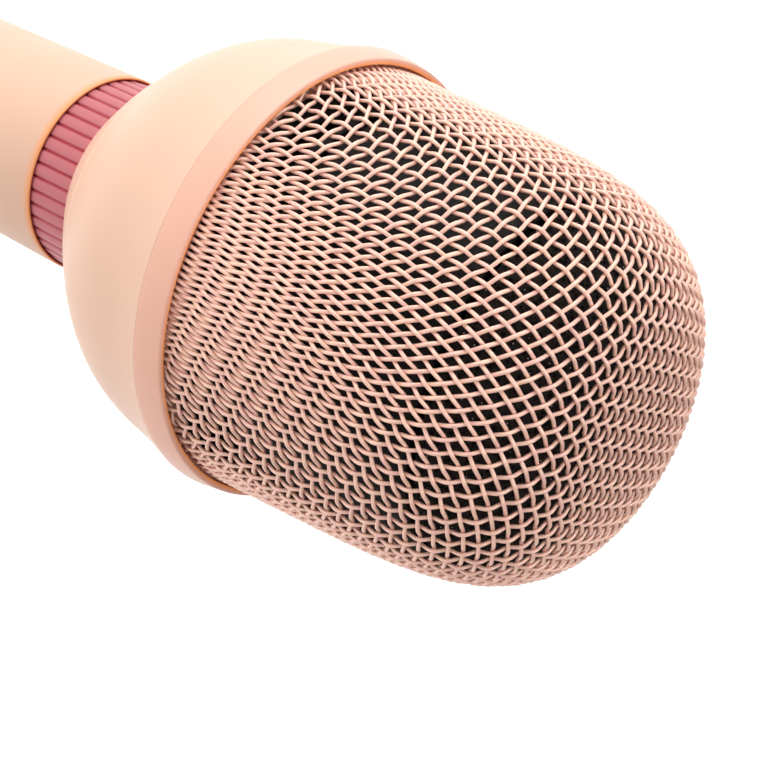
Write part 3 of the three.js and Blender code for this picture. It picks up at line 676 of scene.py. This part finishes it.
def glossy_plastic(name, color):
    look = Look(name, color, 0.22)
    look.paint(look.mottled(8, 0.05))
    look.roughen(3, 0.17, 0.29)
    look.bump(look.noise(3, 1.0), 0.05, 0.05)
    look.set(Coat_Weight=0.35, Coat_Roughness=0.12)


def painted_wire():
    look = Look("painted_wire", (0.95, 0.61, 0.5), 0.36, 0.2)
    worn = look.ramp(look.noise(2.6, 4.0), [(0.32, (0.86, 0.51, 0.43)), (0.62, (0.91, 0.58, 0.45))])
    look.paint(worn)
    look.roughen(1.2, 0.3, 0.46)
    look.bump(look.noise(0.22, 2.0), 0.2, 0.03)
    look.set(Coat_Weight=0.12, Coat_Roughness=0.25)


def grained_plastic(name, color):
    look = Look(name, color, 0.55)
    look.paint(look.mottled(5, 0.12))
    look.roughen(2, 0.47, 0.65)
    look.bump(look.noise(0.35, 4.0), 0.35, 0.08)
    look.set(Specular_IOR_Level=0.16)


def soft_rubber(name, color):
    look = Look(name, color, 0.78)
    look.paint(look.mottled(9, 0.03))
    look.roughen(1.5, 0.7, 0.86)
    look.bump(look.noise(0.25, 3.0), 0.3, 0.05)
    look.set(Sheen_Weight=0.15, Sheen_Roughness=0.5)


def open_cell_foam():
    """Black foam: painted shade makes the pores darker than the cell walls, and painted glints on a few
    cells stand in for walls that catch the light.
    """
    look = Look("open_cell_foam", (0.01, 0.008, 0.007), 0.95)
    cells = look.add("ShaderNodeTexVoronoi", Scale=1 / (0.9 * MM))
    look.join(look.place, cells.inputs["Vector"])
    pores = look.between(cells.outputs["Distance"], 0.1, 0.6)
    # Painted shade: the pores darker, the cell walls lighter.
    painted_pore_shade = look.ramp(pores, [(0.2, (0.002, 0.0015, 0.001)), (0.8, (0.022, 0.018, 0.016))])
    split = look.add("ShaderNodeSeparateColor")
    look.join(cells.outputs["Color"], split.inputs[0])
    chosen = look.between(split.outputs[0], 0.72, 0.76)
    # Painted glint: bright specks on a few chosen cells, standing in for light caught by cell walls.
    painted_glint = look.between(cells.outputs["Distance"], 0.2, 0.1)
    look.paint(look.mix(look.times(chosen, painted_glint), painted_pore_shade, (0.34, 0.3, 0.27)))
    look.bump(pores, 0.9, 0.5)
    look.set(Specular_IOR_Level=0.12)


def metal(name, color, roughness, grain=0.4):
    look = Look(name, color, roughness, 1.0)
    look.paint(look.mottled(3, 0.08))
    look.roughen(grain, roughness - 0.08, roughness + 0.12)
    look.bump(look.noise(grain, 3.0), 0.15, 0.02)


def circuit_board():
    look = Look("circuit_board", (0.03, 0.16, 0.08), 0.35)
    tracks = look.add("ShaderNodeTexWave", Scale=1 / (2.2 * MM), Distortion=3.0)
    look.join(look.place, tracks.inputs["Vector"])
    lines = look.between(tracks.outputs["Fac"], 0.72, 0.8)
    look.paint(look.mix(lines, (0.02, 0.12, 0.06), (0.07, 0.3, 0.15)))
    look.bump(lines, 0.3, 0.04)


def cell_wrap():
    look = Look("cell_wrap", (0.07, 0.19, 0.34), 0.28)
    look.paint(look.mottled(6, 0.06))
    look.bump(look.noise(1.4, 3.0), 0.15, 0.05)


def cone_paper():
    look = Look("cone_paper", (0.045, 0.04, 0.04), 0.85)
    look.paint(look.mottled(1.2, 0.3))
    look.bump(look.noise(0.4, 6.0), 0.6, 0.1)


def lamp():
    look = Look("lamp", (0.78, 0.74, 0.66), 0.2)
    look.paint(look.mottled(1, 0.03))
    look.bump(look.noise(0.3, 2.0), 0.1, 0.02)
    look.set(Subsurface_Weight=0.3, Subsurface_Radius=(0.001, 0.001, 0.001), Coat_Weight=0.6)


CREAM = (0.75, 0.474, 0.344)
BLUSH = (0.80, 0.435, 0.325)
ROSE = (0.46, 0.07, 0.09)
# Painted glow: warm orange that stands in for light coming through the thin plastic at a rim's edge.
PAINTED_GLOW = (0.90, 0.36, 0.13)
# Painted shade: dark maroon that stands in for the shadow in the recess inside the handle's rim.
PAINTED_RECESS_SHADE = (0.50, 0.10, 0.05)

satin_paint("cream_plastic", CREAM, 0.4)
satin_paint("cream_handle", CREAM, 0.4, [
    # painted glow along the handle's top rim
    (HANDLE_TOP - 0.1, HANDLE_TOP - 1.9, 30, PAINTED_GLOW),
    # painted shade in the recess inside the handle's rim, over the inner part of its top
    (HANDLE_TOP - 1.4, HANDLE_TOP - 1.5, HANDLE_RADIUS - 0.2, PAINTED_RECESS_SHADE),
])
satin_paint("blush_plastic", BLUSH, 0.36)
# Painted glow along the inner edge of the band's rim.
satin_paint("blush_band", BLUSH, 0.36, [(RIM - 1.4, RIM - 2, RIM_RADIUS - 0.5, PAINTED_GLOW)])
glossy_plastic("rose_plastic", ROSE)
fluted_plastic()
painted_wire()
grained_plastic("charcoal_plastic", (0.008, 0.007, 0.0065))
open_cell_foam()
soft_rubber("black_rubber", (0.02, 0.018, 0.017))
soft_rubber("blush_rubber", (0.82, 0.47, 0.37))
metal("steel", (0.55, 0.56, 0.57), 0.32)
metal("brass", (0.62, 0.43, 0.16), 0.3)
metal("magnet", (0.09, 0.09, 0.095), 0.55, 0.8)
circuit_board()
cell_wrap()
metal("capsule_metal", (0.5, 0.5, 0.5), 0.35)
cone_paper()
lamp()

SLOTS = {part["node"]: part["material_slot"] for part in frame["record"]["subparts"]}
BODY_OF = {}
for body_name, body_nodes in frame["record"]["behaviour"]["bodies"].items():
    for body_node in body_nodes:
        BODY_OF[body_node] = body_name


def stand_for(piece, node, material=None):
    """The piece takes over from a CAD node: its body, its finish and its place."""
    piece.data.materials.clear()
    piece.data.materials.append(material or MATERIALS[SLOTS[node]])
    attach(piece, BODY_OF[node])
    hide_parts(node)
    return piece


# ---- Camera, light and floor ----

def object_from_camera():
    """Rows: how right, down and ahead in the camera's view read in the microphone's own axes."""
    axis = Vector((math.sin(CAMERA_TILT) * math.cos(CAMERA_ROLL),
                   math.sin(CAMERA_TILT) * math.sin(CAMERA_ROLL), -math.cos(CAMERA_TILT)))
    across = Vector((-math.sin(CAMERA_ROLL), math.cos(CAMERA_ROLL), 0))
    depth = axis.cross(across)
    return Matrix((across, depth, axis))


def add_camera():
    turn = object_from_camera()
    place = Vector((0, 0, RIM)) - turn @ RIM_FROM_CAMERA
    columns = turn.transposed()
    right, down, ahead = columns[0], columns[1], columns[2]
    data = bpy.data.cameras.new("camera")
    data.lens = CAMERA_LENS
    data.sensor_width = 36
    data.clip_start = 0.01
    data.clip_end = 50
    camera = new_object("camera", data)
    pose = Matrix((right, -down, -ahead)).transposed().to_4x4()
    pose.translation = place * MM
    camera.matrix_world = pose
    bpy.context.scene.camera = camera
    return right, -down, -ahead


def add_light(name, direction, distance, size, power):
    """A soft square light that looks at the head from a direction."""
    data = bpy.data.lights.new(name, "AREA")
    data.size = size
    data.energy = power
    light = new_object(name, data)
    light.location = LIT_POINT + direction.normalized() * distance
    light.rotation_mode = "QUATERNION"
    light.rotation_quaternion = direction.to_track_quat("Z", "Y")
    light.visible_camera = False


def add_sky():
    """Bright near the horizon and dimmer above, by the direction in the world."""
    world = bpy.data.worlds.new("studio")
    world.use_nodes = True
    nodes = world.node_tree.nodes
    links = world.node_tree.links
    direction = nodes.new("ShaderNodeTexCoord")
    split = nodes.new("ShaderNodeSeparateXYZ")
    links.new(direction.outputs["Generated"], split.inputs[0])
    sky = nodes.new("ShaderNodeValToRGB")
    links.new(split.outputs["Z"], sky.inputs["Fac"])
    for element, (height, brightness) in zip(sky.color_ramp.elements, SKY):
        element.position = height
        element.color = (brightness, brightness, brightness, 1)
    links.new(sky.outputs["Color"], nodes["Background"].inputs["Color"])
    bpy.context.scene.world = world


def add_floor():
    data = bpy.data.meshes.new("floor")
    half = FLOOR_HALF_WIDTH
    data.from_pydata([(-half, -half, 0), (half, -half, 0), (half, half, 0), (-half, half, 0)],
                     [], [(0, 1, 2, 3)])
    floor = new_object("floor", data)
    floor.location.z = -FLOOR_DROP
    look = Look("floor", (0.9, 0.9, 0.9), 0.9)
    look.paint(look.mottled(400, 0.01))
    look.set(Emission_Color=(1, 1, 1, 1), Emission_Strength=FLOOR_GLOW)
    data.materials.append(look.material)


def add_stage(right, up, back):
    """The sky, the floor and the lights, which stand where the camera's axes say."""
    bpy.context.scene.view_settings.view_transform = "Standard"
    add_sky()
    add_floor()
    for name, ((rise, aside, behind), distance, size, power) in LIGHTS.items():
        add_light(name, rise * up + aside * right + behind * back, distance, size, power)


# ---- Head ----

def head_bell():
    """The bell, with a soft groove over the collar at its foot, its inner ledge and its spigot."""
    section, _ = turned_profile("head_shell")
    at_foot = np.abs(section[:, 1] - BELL_BOTTOM) < 0.05
    section = np.roll(section, -int(np.argmax(section[:, 0] * at_foot)), axis=0)
    inside = section[int(np.argmax(section.sum(1))) + 1:]
    inside[0][1] = BAND_BOTTOM - SEAM
    outside = bell_curve(160)
    outside = outside[outside[:, 1] < BAND_BOTTOM - SEAM - 0.2]
    groove = np.exp(-(((outside[:, 1] - BELL_BOTTOM - COLLAR_HEIGHT) / GROOVE_WIDTH) ** 2))
    outside[:, 0] -= GROOVE_DEPTH * groove
    top = (BAND_RADIUS - 0.05, BAND_BOTTOM - SEAM)
    piece = lathe("head_bell", filleted([*outside, top, *inside], 0.3, seam=top[1]), 192)
    return stand_for(piece, "head_shell")


def head_band():
    """The band that carries the mesh, with its flat rim, mesh seat and skirt."""
    section, _ = turned_profile("grille_band")
    piece = lathe("band", filleted(section, 0.3, seam=BAND_BOTTOM), 192)
    return stand_for(piece, "grille_band", MATERIALS["blush_band"])


def neck_flutes():
    """A ring with narrow grooves between broad rounded lands."""
    per_flute = 14
    count = NECK_FLUTES * per_flute
    angles = around(count)
    phase = (np.arange(count) % per_flute) / per_flute
    groove = np.clip(1 - np.abs(phase - 0.5) / FLUTE_HALF_WIDTH, 0, 1)
    depth = FLUTE_DEPTH * np.sin(groove * math.pi / 2) ** 2
    crown = LAND_CROWN * (1 - np.cos(TAU * phase)) / 2
    top = BELL_BOTTOM - SEAM
    bottom = HANDLE_TOP - RIM_RECESS + GAP
    fade_steps = 6
    levels = [(bottom, 0.15), (bottom + 0.2, 0)]
    levels += [(top - FLUTE_FADE + FLUTE_FADE / fade_steps * step, 0) for step in range(fade_steps + 1)]
    rows = []
    for z, drawn_in in levels:
        fade = np.clip((top - z) / FLUTE_FADE, 0, 1) ** 0.5
        rows.append(ring(NECK_RADIUS - (depth + crown) * fade - drawn_in, angles, z))
    for z in (top, bottom):
        rows.append(ring(NECK_BORE, angles, z))
    piece = build_mesh("neck_flutes", np.concatenate(rows), grid_faces(len(rows), count, True))
    return stand_for(piece, "neck_ring", MATERIALS["rose_flutes"])


def tip_foam():
    """Open-cell foam under the tip: the CAD's section with a rough, torn-cell grain."""
    section, _ = turned_profile("capsule_foam")
    outline = [section[0]]
    for before, after in zip(section[:-1], section[1:]):
        steps = max(1, int(np.linalg.norm(after - before) / 0.8))
        outline.extend(before + (after - before) * k / steps for k in range(1, steps + 1))
    vertices, faces = lathe_data(outline, 220)
    core = np.array((0, 0, section[:, 1].mean()))
    for i, vertex in enumerate(vertices):
        grain = noise.noise(Vector(vertex) * 0.75) + 0.7 * noise.noise(Vector(vertex) * 1.9)
        outward = (vertex - core) / np.linalg.norm(vertex - core)
        vertices[i] = vertex + outward * (0.4 * grain - 0.35)
    piece = build_mesh("tip_foam", vertices, faces, smooth_angle=math.radians(80))
    stand_for(piece, "capsule_foam")
    return piece


# ---- Turned pieces ----

def turned_copy(name, node, fillet):
    """A fine copy of a turned CAD node, with its corners rounded."""
    section, centre = turned_profile(node)
    return stand_for(lathe(name, filleted(section, fillet), 96, centre), node)


TURNED = {
    # piece: (node, fillet)
    "skirt_seal": ("grille_seal", 0.2),
    "spigot_nut": ("neck_nut", 0.4),
    "capsule_drum": ("capsule_cup", 0.7),
    "capsule_web": ("capsule_mount", 0.5),
    "capsule_can": ("microphone_capsule", 0.6),
    "basket": ("speaker_basket", 0.4),
    "magnet_ring": ("speaker_magnet", 0.7),
    "magnet_back_plate": ("speaker_back_plate", 0.4),
    "magnet_top_plate": ("speaker_top_plate", 0.3),
    "coil": ("speaker_voice_coil", 0.2),
    "cone": ("speaker_cone", 0.25),
    "cell": ("battery_cell", 0.6),
    "cell_contact_low": ("battery_contact_low", 0.15),
    "cell_contact_high": ("battery_contact_high", 0.15),
}


def smooth_run(points):
    """A curve through points, with a few more between each two."""
    steps = 4
    padded = [2 * points[0] - points[1], *points, 2 * points[-1] - points[-2]]
    curve = []
    for a, b, c, d in zip(padded, padded[1:], padded[2:], padded[3:]):
        for k in range(steps):
            t = k / steps
            curve.append(0.5 * (2 * b + (c - a) * t + (2 * a - 5 * b + 4 * c - d) * t ** 2
                                + (3 * b - a - 3 * c + d) * t ** 3))
    return [*curve, points[-1]]


def dust_cap():
    """Two arches, each smoothed from the CAD's section."""
    section, _ = turned_profile("speaker_dust_cap")
    half = len(section) // 2
    profile = [*smooth_run(section[:half]), *smooth_run(section[half:])]
    return stand_for(lathe("cone_cap", profile, 96), "speaker_dust_cap")


def roll_surround():
    """The half roll of rubber at the cone's edge."""
    section, _ = turned_profile("speaker_surround")
    reach = (section[:, 0].max() - section[:, 0].min()) / 2
    middle_radius = section[:, 0].min() + reach
    base = section[:, 1].min()
    sheet = 0.6
    angles = np.linspace(0, math.pi, 17)
    outer = arc(reach, angles, middle_radius, base)
    inner = arc(reach - sheet, angles, middle_radius, base)
    return stand_for(lathe("cone_surround", outer + inner[::-1], 128), "speaker_surround")


def crossed_screw(name, node):
    """A pan-head screw with a crossed recess cut into its lower end."""
    section, centre = turned_profile(node)
    piece = lathe(name, filleted(section, 0.35), 32, centre)
    half_length, half_width, recess = 1.15, 0.22, 0.8
    face = low(node)[2]
    x, y = centre
    slots = []
    for half_x, half_y in ((half_length, half_width), (half_width, half_length)):
        slots.append(block("slot", (x - half_x, y - half_y, face - 0.5),
                           (x + half_x, y + half_y, face + recess)))
    combine(piece, slots, "DIFFERENCE")
    return stand_for(piece, node)


# ---- Handle ----

def end_cap_butt():
    """The end cap, with countersunk screw holes and a shallow ring turned in its base."""
    section, _ = turned_profile("end_cap", math.pi / 2)
    piece = lathe("butt_cap", filleted(section, 0.5), 192)
    offset = middle("end_cap_screw_right")[0]
    head_radius = half_span("end_cap_screw_right")[0] + 0.4
    cutters = []
    for side in (-1, 1):
        hole = [(0, -1), (head_radius + 0.5, -1), (head_radius + 0.5, 0), (head_radius, 0.4),
                (head_radius, 2.6), (1.6, 2.6), (1.6, 6), (0, 6)]
        cutters.append(lathe("hole", hole, 48, (side * offset, 0)))
    groove = [(14.4, -0.5), (15.2, -0.5), (15.2, 0.1), (14.8, 0.35), (14.4, 0.1)]
    cutters.append(lathe("groove", groove, 192))
    combine(piece, cutters, "DIFFERENCE")
    return stand_for(piece, "end_cap")


def flared_opening(radius, inner_end, chamfer, surface_depth):
    """Levels of a cutter whose mouth flares out at the surface of the handle."""
    return [(radius, inner_end), (0, inner_end), (0, skin(surface_depth + chamfer)),
            (-chamfer, skin(surface_depth)), (-chamfer, skin(-2)), (radius, skin(-2))]


def handle_tube():
    """The tube, with a recess inside its top rim, the panel's window and the sockets' pocket."""
    wall = 2.2
    bulkhead_low, bulkhead_top = BULKHEAD
    inner = HANDLE_RADIUS - wall
    profile = [
        (handle_radius(HANDLE_BOTTOM) - wall, HANDLE_BOTTOM),
        (handle_radius(HANDLE_BOTTOM), HANDLE_BOTTOM),
        (HANDLE_RADIUS, HANDLE_TOP - 0.6),
        (HANDLE_RADIUS - 0.15, HANDLE_TOP - 0.15),
        (HANDLE_RADIUS - 0.4, HANDLE_TOP),
        (NECK_RADIUS + 0.15, HANDLE_TOP - 0.15),
        (NECK_RADIUS + 0.06, HANDLE_TOP - 0.4),
        (NECK_RADIUS + 0.06, HANDLE_TOP - RIM_RECESS),
        (NECK_BORE, HANDLE_TOP - RIM_RECESS),
        (NECK_BORE, HANDLE_TOP - 4),
        (inner, HANDLE_TOP - 4),
        (inner - HANDLE_TAPER * (HANDLE_TOP - bulkhead_top), bulkhead_top),
        (6, bulkhead_top),
        (6, bulkhead_low),
        (inner - HANDLE_TAPER * (HANDLE_TOP - bulkhead_low), bulkhead_low),
    ]
    piece = lathe("handle_barrel", filleted(profile, 0.25), 256)
    window = flared_opening(PANEL_RADIUS, -8, 0.3, 0)
    pocket = flared_opening(COVER_RADIUS, skin(POCKET_DEPTH), 0.3, 0)
    aux = middle("aux_socket")
    charge = middle("charge_socket")
    cutters = [
        loft("window", PANEL_CENTRE, PANEL_RADIUS + 0.15, PANEL_STRAIGHT, window),
        loft("pocket", COVER_CENTRE, COVER_RADIUS + 0.15, COVER_STRAIGHT, pocket, back=True),
        rod("aux_hole", 3.2, 10, 25, 0, aux[2]),
        block("charge_hole", (-4.8, 10, charge[2] - 1.95), (4.8, 25, charge[2] + 1.95)),
    ]
    posts = []
    for node in ("end_cap_screw_left", "end_cap_screw_right"):
        x = middle(node)[0]
        posts.append(upright_rod("post", 2.8, bulkhead_top - 1, bulkhead_top + 8, x))
        cutters.append(upright_rod("bore", 1.5, bulkhead_low - 1, bulkhead_top + 7, x))
    combine(piece, posts, "UNION")
    combine(piece, cutters, "DIFFERENCE")
    return stand_for(piece, "handle_tube", MATERIALS["cream_handle"])


# ---- Controls ----

def control_spec(node):
    """Centre height, end radius, half of the straight part and the flange's width of a control."""
    half_width = high(node)[0]
    flange = 0.8 if node.endswith("button") else 1.0
    straight = half_span(node)[2] - half_width
    return middle(node)[2], half_width - flange, max(0.0, straight), flange


def control_panel():
    """The blush panel, let into the handle, with a countersunk opening for each control."""
    surface = skin(PANEL_DEPTH)
    back = skin(PANEL_DEPTH + PANEL_THICKNESS)
    levels = [(PANEL_RADIUS * (1 - k / 8), back) for k in range(9)]
    levels += rounded_top(surface, 0.35, PANEL_RADIUS)
    piece = loft("panel", PANEL_CENTRE, PANEL_RADIUS, PANEL_STRAIGHT, levels, 192)
    board = low("button_board")
    screws = [middle(f"board_screw_{k}") for k in (1, 2)]
    posts = [rod("post", 1.8, POST_FRONT, board[1] - GAP, place[0], place[2]) for place in screws]
    cutters = [rod("bore", 1.15, -16, -10, place[0], place[2]) for place in screws]
    for node in CONTROLS:
        centre, radius, straight, _ = control_spec(node)
        hole = radius + HOLE_CLEARANCE
        levels = flared_opening(hole, HOLE_END, HOLE_CHAMFER, PANEL_DEPTH)
        cutters.append(loft("opening", centre, hole, straight, levels, 72))
    for node in ("volume_rocker_pin", "echo_rocker_pin"):
        pin = middle(node)
        for side in (-1, 1):
            inner, outer = sorted((side * 5.0, side * 6.2))
            posts.append(block("ear", (inner, EAR_FRONT, pin[2] - 1.5), (outer, pin[1] + 1.3, pin[2] + 1.5)))
        cutters.append(cross_rod("pin_hole", PIN_HOLE_RADIUS, 8, pin[1], pin[2]))
    lens_hole = 1.5
    levels = flared_opening(lens_hole, HOLE_END, 0.25, PANEL_DEPTH)
    cutters.append(loft("lens_opening", middle("status_lens")[2], lens_hole, 0, levels, 48))
    combine(piece, posts, "UNION")
    combine(piece, cutters, "DIFFERENCE")
    return stand_for(piece, "control_panel")


CONTROLS = ("power_button", "play_button", "mode_button", "volume_rocker", "echo_rocker")


def key_top(node):
    """The outer surface of a key, hollowed for a fingertip."""
    centre, radius, straight, _ = control_spec(node)
    is_round = straight < 0.1

    def surface(x, z):
        if is_round:
            hollow = 0.22 * np.clip(1 - (x ** 2 + (z - centre) ** 2) / (0.8 * radius) ** 2, 0, 1)
        else:
            hollow = 0.35 * np.clip(1 - ((z - centre) / (0.75 * (straight + radius))) ** 2, 0, 1)
        return skin(-CONTROL_STANDOFF)(x, z) + hollow

    return surface


def key_levels(node):
    """Levels of a key from its flange, which stays under the panel, to its top."""
    _, radius, _, flange = control_spec(node)
    levels = [(-flange, FLANGE_Y + FLANGE_THICKNESS), (-flange, FLANGE_Y), (0, FLANGE_Y)]
    return levels + rounded_top(key_top(node), KEY_FILLET, radius, rings=9)


def push_button(node):
    """A round key: domed cap, flange under the panel and stem over its switch."""
    centre, radius, _, _ = control_spec(node)
    stem_tip = high(node)[1]
    stem = 1.4
    levels = [(radius, stem_tip), (radius - stem + 0.2, stem_tip), (radius - stem, stem_tip - 0.2),
              (radius - stem, FLANGE_Y + FLANGE_THICKNESS)]
    levels += key_levels(node)
    piece = loft(node.replace("button", "key"), centre, radius, 0, levels, 72)
    return stand_for(piece, node)


def rocker(node, pin):
    """A two-way key that tips on a pin: hollowed in the middle, with a flange, lug and two nubs."""
    centre, radius, straight, _ = control_spec(node)
    stem_tip = high(node)[1]
    levels = [(radius, FLANGE_Y + FLANGE_THICKNESS), *key_levels(node)]
    piece = loft(node.replace("rocker", "key"), centre, radius, straight, levels, 96)
    axle = middle(pin)
    under = FLANGE_Y + 0.3
    parts = [block("lug", (-1.6, under, centre - 1.9), (1.6, axle[1] + 1.3, centre + 1.9))]
    nub_tip = min(stem_tip, axle[1] + 0.9)
    parts += [rod("nub", 1.0, under, nub_tip, 0, centre + side * 4.6) for side in (-1, 1)]
    combine(piece, parts, "UNION")
    combine(piece, [cross_rod("pin_hole", PIN_HOLE_RADIUS, 3, axle[1], centre)], "DIFFERENCE")
    return stand_for(piece, node)


def raised_mark(name, node, strokes):
    """A small generic symbol that stands out of a key: strokes are loops of (x, z) corners."""
    centre = control_spec(node)[0]
    surface = key_top(node)
    vertices, faces = [], []
    for stroke in strokes:
        start = len(vertices)
        count = len(stroke)
        for lift in (-MARK_ROOT, MARK_HEIGHT):
            vertices.extend((x, surface(x, centre + z) - lift, centre + z) for x, z in stroke)
        faces.append(tuple(start + k for k in range(count)))
        faces.append(tuple(start + count + k for k in range(count - 1, -1, -1)))
        for k in range(count):
            right = (k + 1) % count
            faces.append((start + right, start + k, start + count + k, start + count + right))
    piece = build_mesh(name, vertices, faces)
    piece.data.materials.append(MATERIALS["cream_plastic"])
    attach(piece, BODY_OF[node])
    return piece


def bar(x, z, half_x, half_z):
    return [(x - half_x, z - half_z), (x + half_x, z - half_z),
            (x + half_x, z + half_z), (x - half_x, z + half_z)]


def arc_band(radius, width, start, end, steps=20):
    angles = [math.radians(start + (end - start) * k / steps) for k in range(steps + 1)]
    outer = arc(radius + width / 2, angles)
    inner = arc(radius - width / 2, angles)
    return [[inner[k], outer[k], outer[k + 1], inner[k + 1]] for k in range(steps)]


def control_marks():
    """Plus and minus on the two-way keys, a play triangle, a power sign and a mode dot."""
    for node in ("volume_rocker", "echo_rocker"):
        name = node.replace("_rocker", "")
        plus = [bar(0, 4.4, 0.95, 0.2), bar(0, 4.975, 0.2, 0.375), bar(0, 3.825, 0.2, 0.375)]
        raised_mark(f"{name}_plus_mark", node, plus)
        raised_mark(f"{name}_minus_mark", node, [bar(0, -4.4, 0.95, 0.2)])
    raised_mark("play_mark", "play_button", [[(1.25, 0), (-0.75, 1.15), (-0.75, -1.15)][::-1]])
    raised_mark("power_mark", "power_button", arc_band(1.35, 0.36, 130, 410) + [bar(0, 1.25, 0.18, 0.75)])
    raised_mark("mode_mark", "mode_button", arc_band(0.5, 0.6, 0, 360, 24))


def status_lens():
    """A small clear dome over the lamp."""
    radius = high("status_lens")[0]
    inner_end = high("status_lens")[1]
    face = low("status_lens")[1]
    levels = [(radius, inner_end), (0.15, inner_end), (0, inner_end - 0.15), (0, face + 0.5)]
    for step in range(1, 9):
        angle = step / 8 * math.pi / 2
        levels.append((radius * (1 - math.cos(angle)), face + 0.5 * (1 - math.sin(angle))))
    piece = loft("status_dome", middle("status_lens")[2], radius, 0, levels, 48)
    return stand_for(piece, "status_lens")


def port_cover():
    """The rubber cover over the sockets, with finger grooves at its top."""
    top_groove = high("port_cover")[2] - 2.2
    spacing, half_length, half_width, depth = 1.1, 3.2, 0.28, 0.22

    def face(x, z):
        grooves = 0.0
        run_out = np.clip(1 - (x / half_length) ** 2, 0, 1)
        for k in range(3):
            height = top_groove - spacing * k
            grooves = grooves + depth * run_out * np.exp(-(((z - height) / half_width) ** 2))
        return skin(COVER_DEPTH)(x, z) + grooves

    back = skin(COVER_THICKNESS)
    levels = [(COVER_RADIUS * (1 - k / 6), back) for k in range(7)]
    levels += rounded_top(face, 0.3, COVER_RADIUS, rings=22)
    piece = loft("sockets_flap", COVER_CENTRE, COVER_RADIUS, COVER_STRAIGHT, levels, 240, back=True)
    return stand_for(piece, "port_cover")


# ---- Pieces that keep their CAD shape ----

def soft_edges():
    """Node group that shades a faceted part smooth except over its sharp edges."""
    group = bpy.data.node_groups.new("soft_edges", "GeometryNodeTree")
    group.interface.new_socket("Geometry", in_out="INPUT", socket_type="NodeSocketGeometry")
    group.interface.new_socket("Geometry", in_out="OUTPUT", socket_type="NodeSocketGeometry")
    nodes = group.nodes
    start = nodes.new("NodeGroupInput")
    end = nodes.new("NodeGroupOutput")
    faces = nodes.new("GeometryNodeSetShadeSmooth")
    faces.domain = "FACE"
    edges = nodes.new("GeometryNodeSetShadeSmooth")
    edges.domain = "EDGE"
    edges.inputs["Shade Smooth"].default_value = False
    angle = nodes.new("GeometryNodeInputMeshEdgeAngle")
    sharp = nodes.new("FunctionNodeCompare")
    sharp.inputs["B"].default_value = SMOOTH_ANGLE
    for source, target in (
        (angle.outputs["Unsigned Angle"], sharp.inputs["A"]),
        (sharp.outputs["Result"], edges.inputs["Selection"]),
        (start.outputs[0], faces.inputs["Geometry"]),
        (faces.outputs[0], edges.inputs["Geometry"]),
        (edges.outputs[0], end.inputs[0]),
    ):
        group.links.new(source, target)
    return group


def dress_frame():
    """Gives every CAD node its procedural material, small bevels and smooth shading."""
    shading = soft_edges()
    for name, node in frame["nodes"].items():
        node.data.materials.clear()
        node.data.materials.append(MATERIALS[SLOTS[name]])
        bevel = node.modifiers.new("bevel", "BEVEL")
        bevel.width = 0.15 * MM
        bevel.segments = 2
        bevel.limit_method = "ANGLE"
        bevel.angle_limit = SMOOTH_ANGLE
        step = node.modifiers.new("shading", "NODES")
        step.node_group = shading


stage_axes = add_camera()
add_stage(*stage_axes)
dress_frame()
handle_tube()
end_cap_butt()
control_panel()
for key in CONTROLS[:3]:
    push_button(key)
for key in CONTROLS[3:]:
    rocker(key, f"{key}_pin")
control_marks()
status_lens()
port_cover()
neck_flutes()
head_bell()
head_band()
for piece_name, (cad_node, fillet_radius) in TURNED.items():
    turned_copy(piece_name, cad_node, fillet_radius)
dust_cap()
roll_surround()
for number in (1, 2, 3):
    crossed_screw(f"head_bolt_{number}", f"head_screw_{number}")
for side_name in ("left", "right"):
    crossed_screw(f"butt_screw_{side_name}", f"end_cap_screw_{side_name}")
tip_foam()
stand_for(woven_grille(), "grille_mesh")
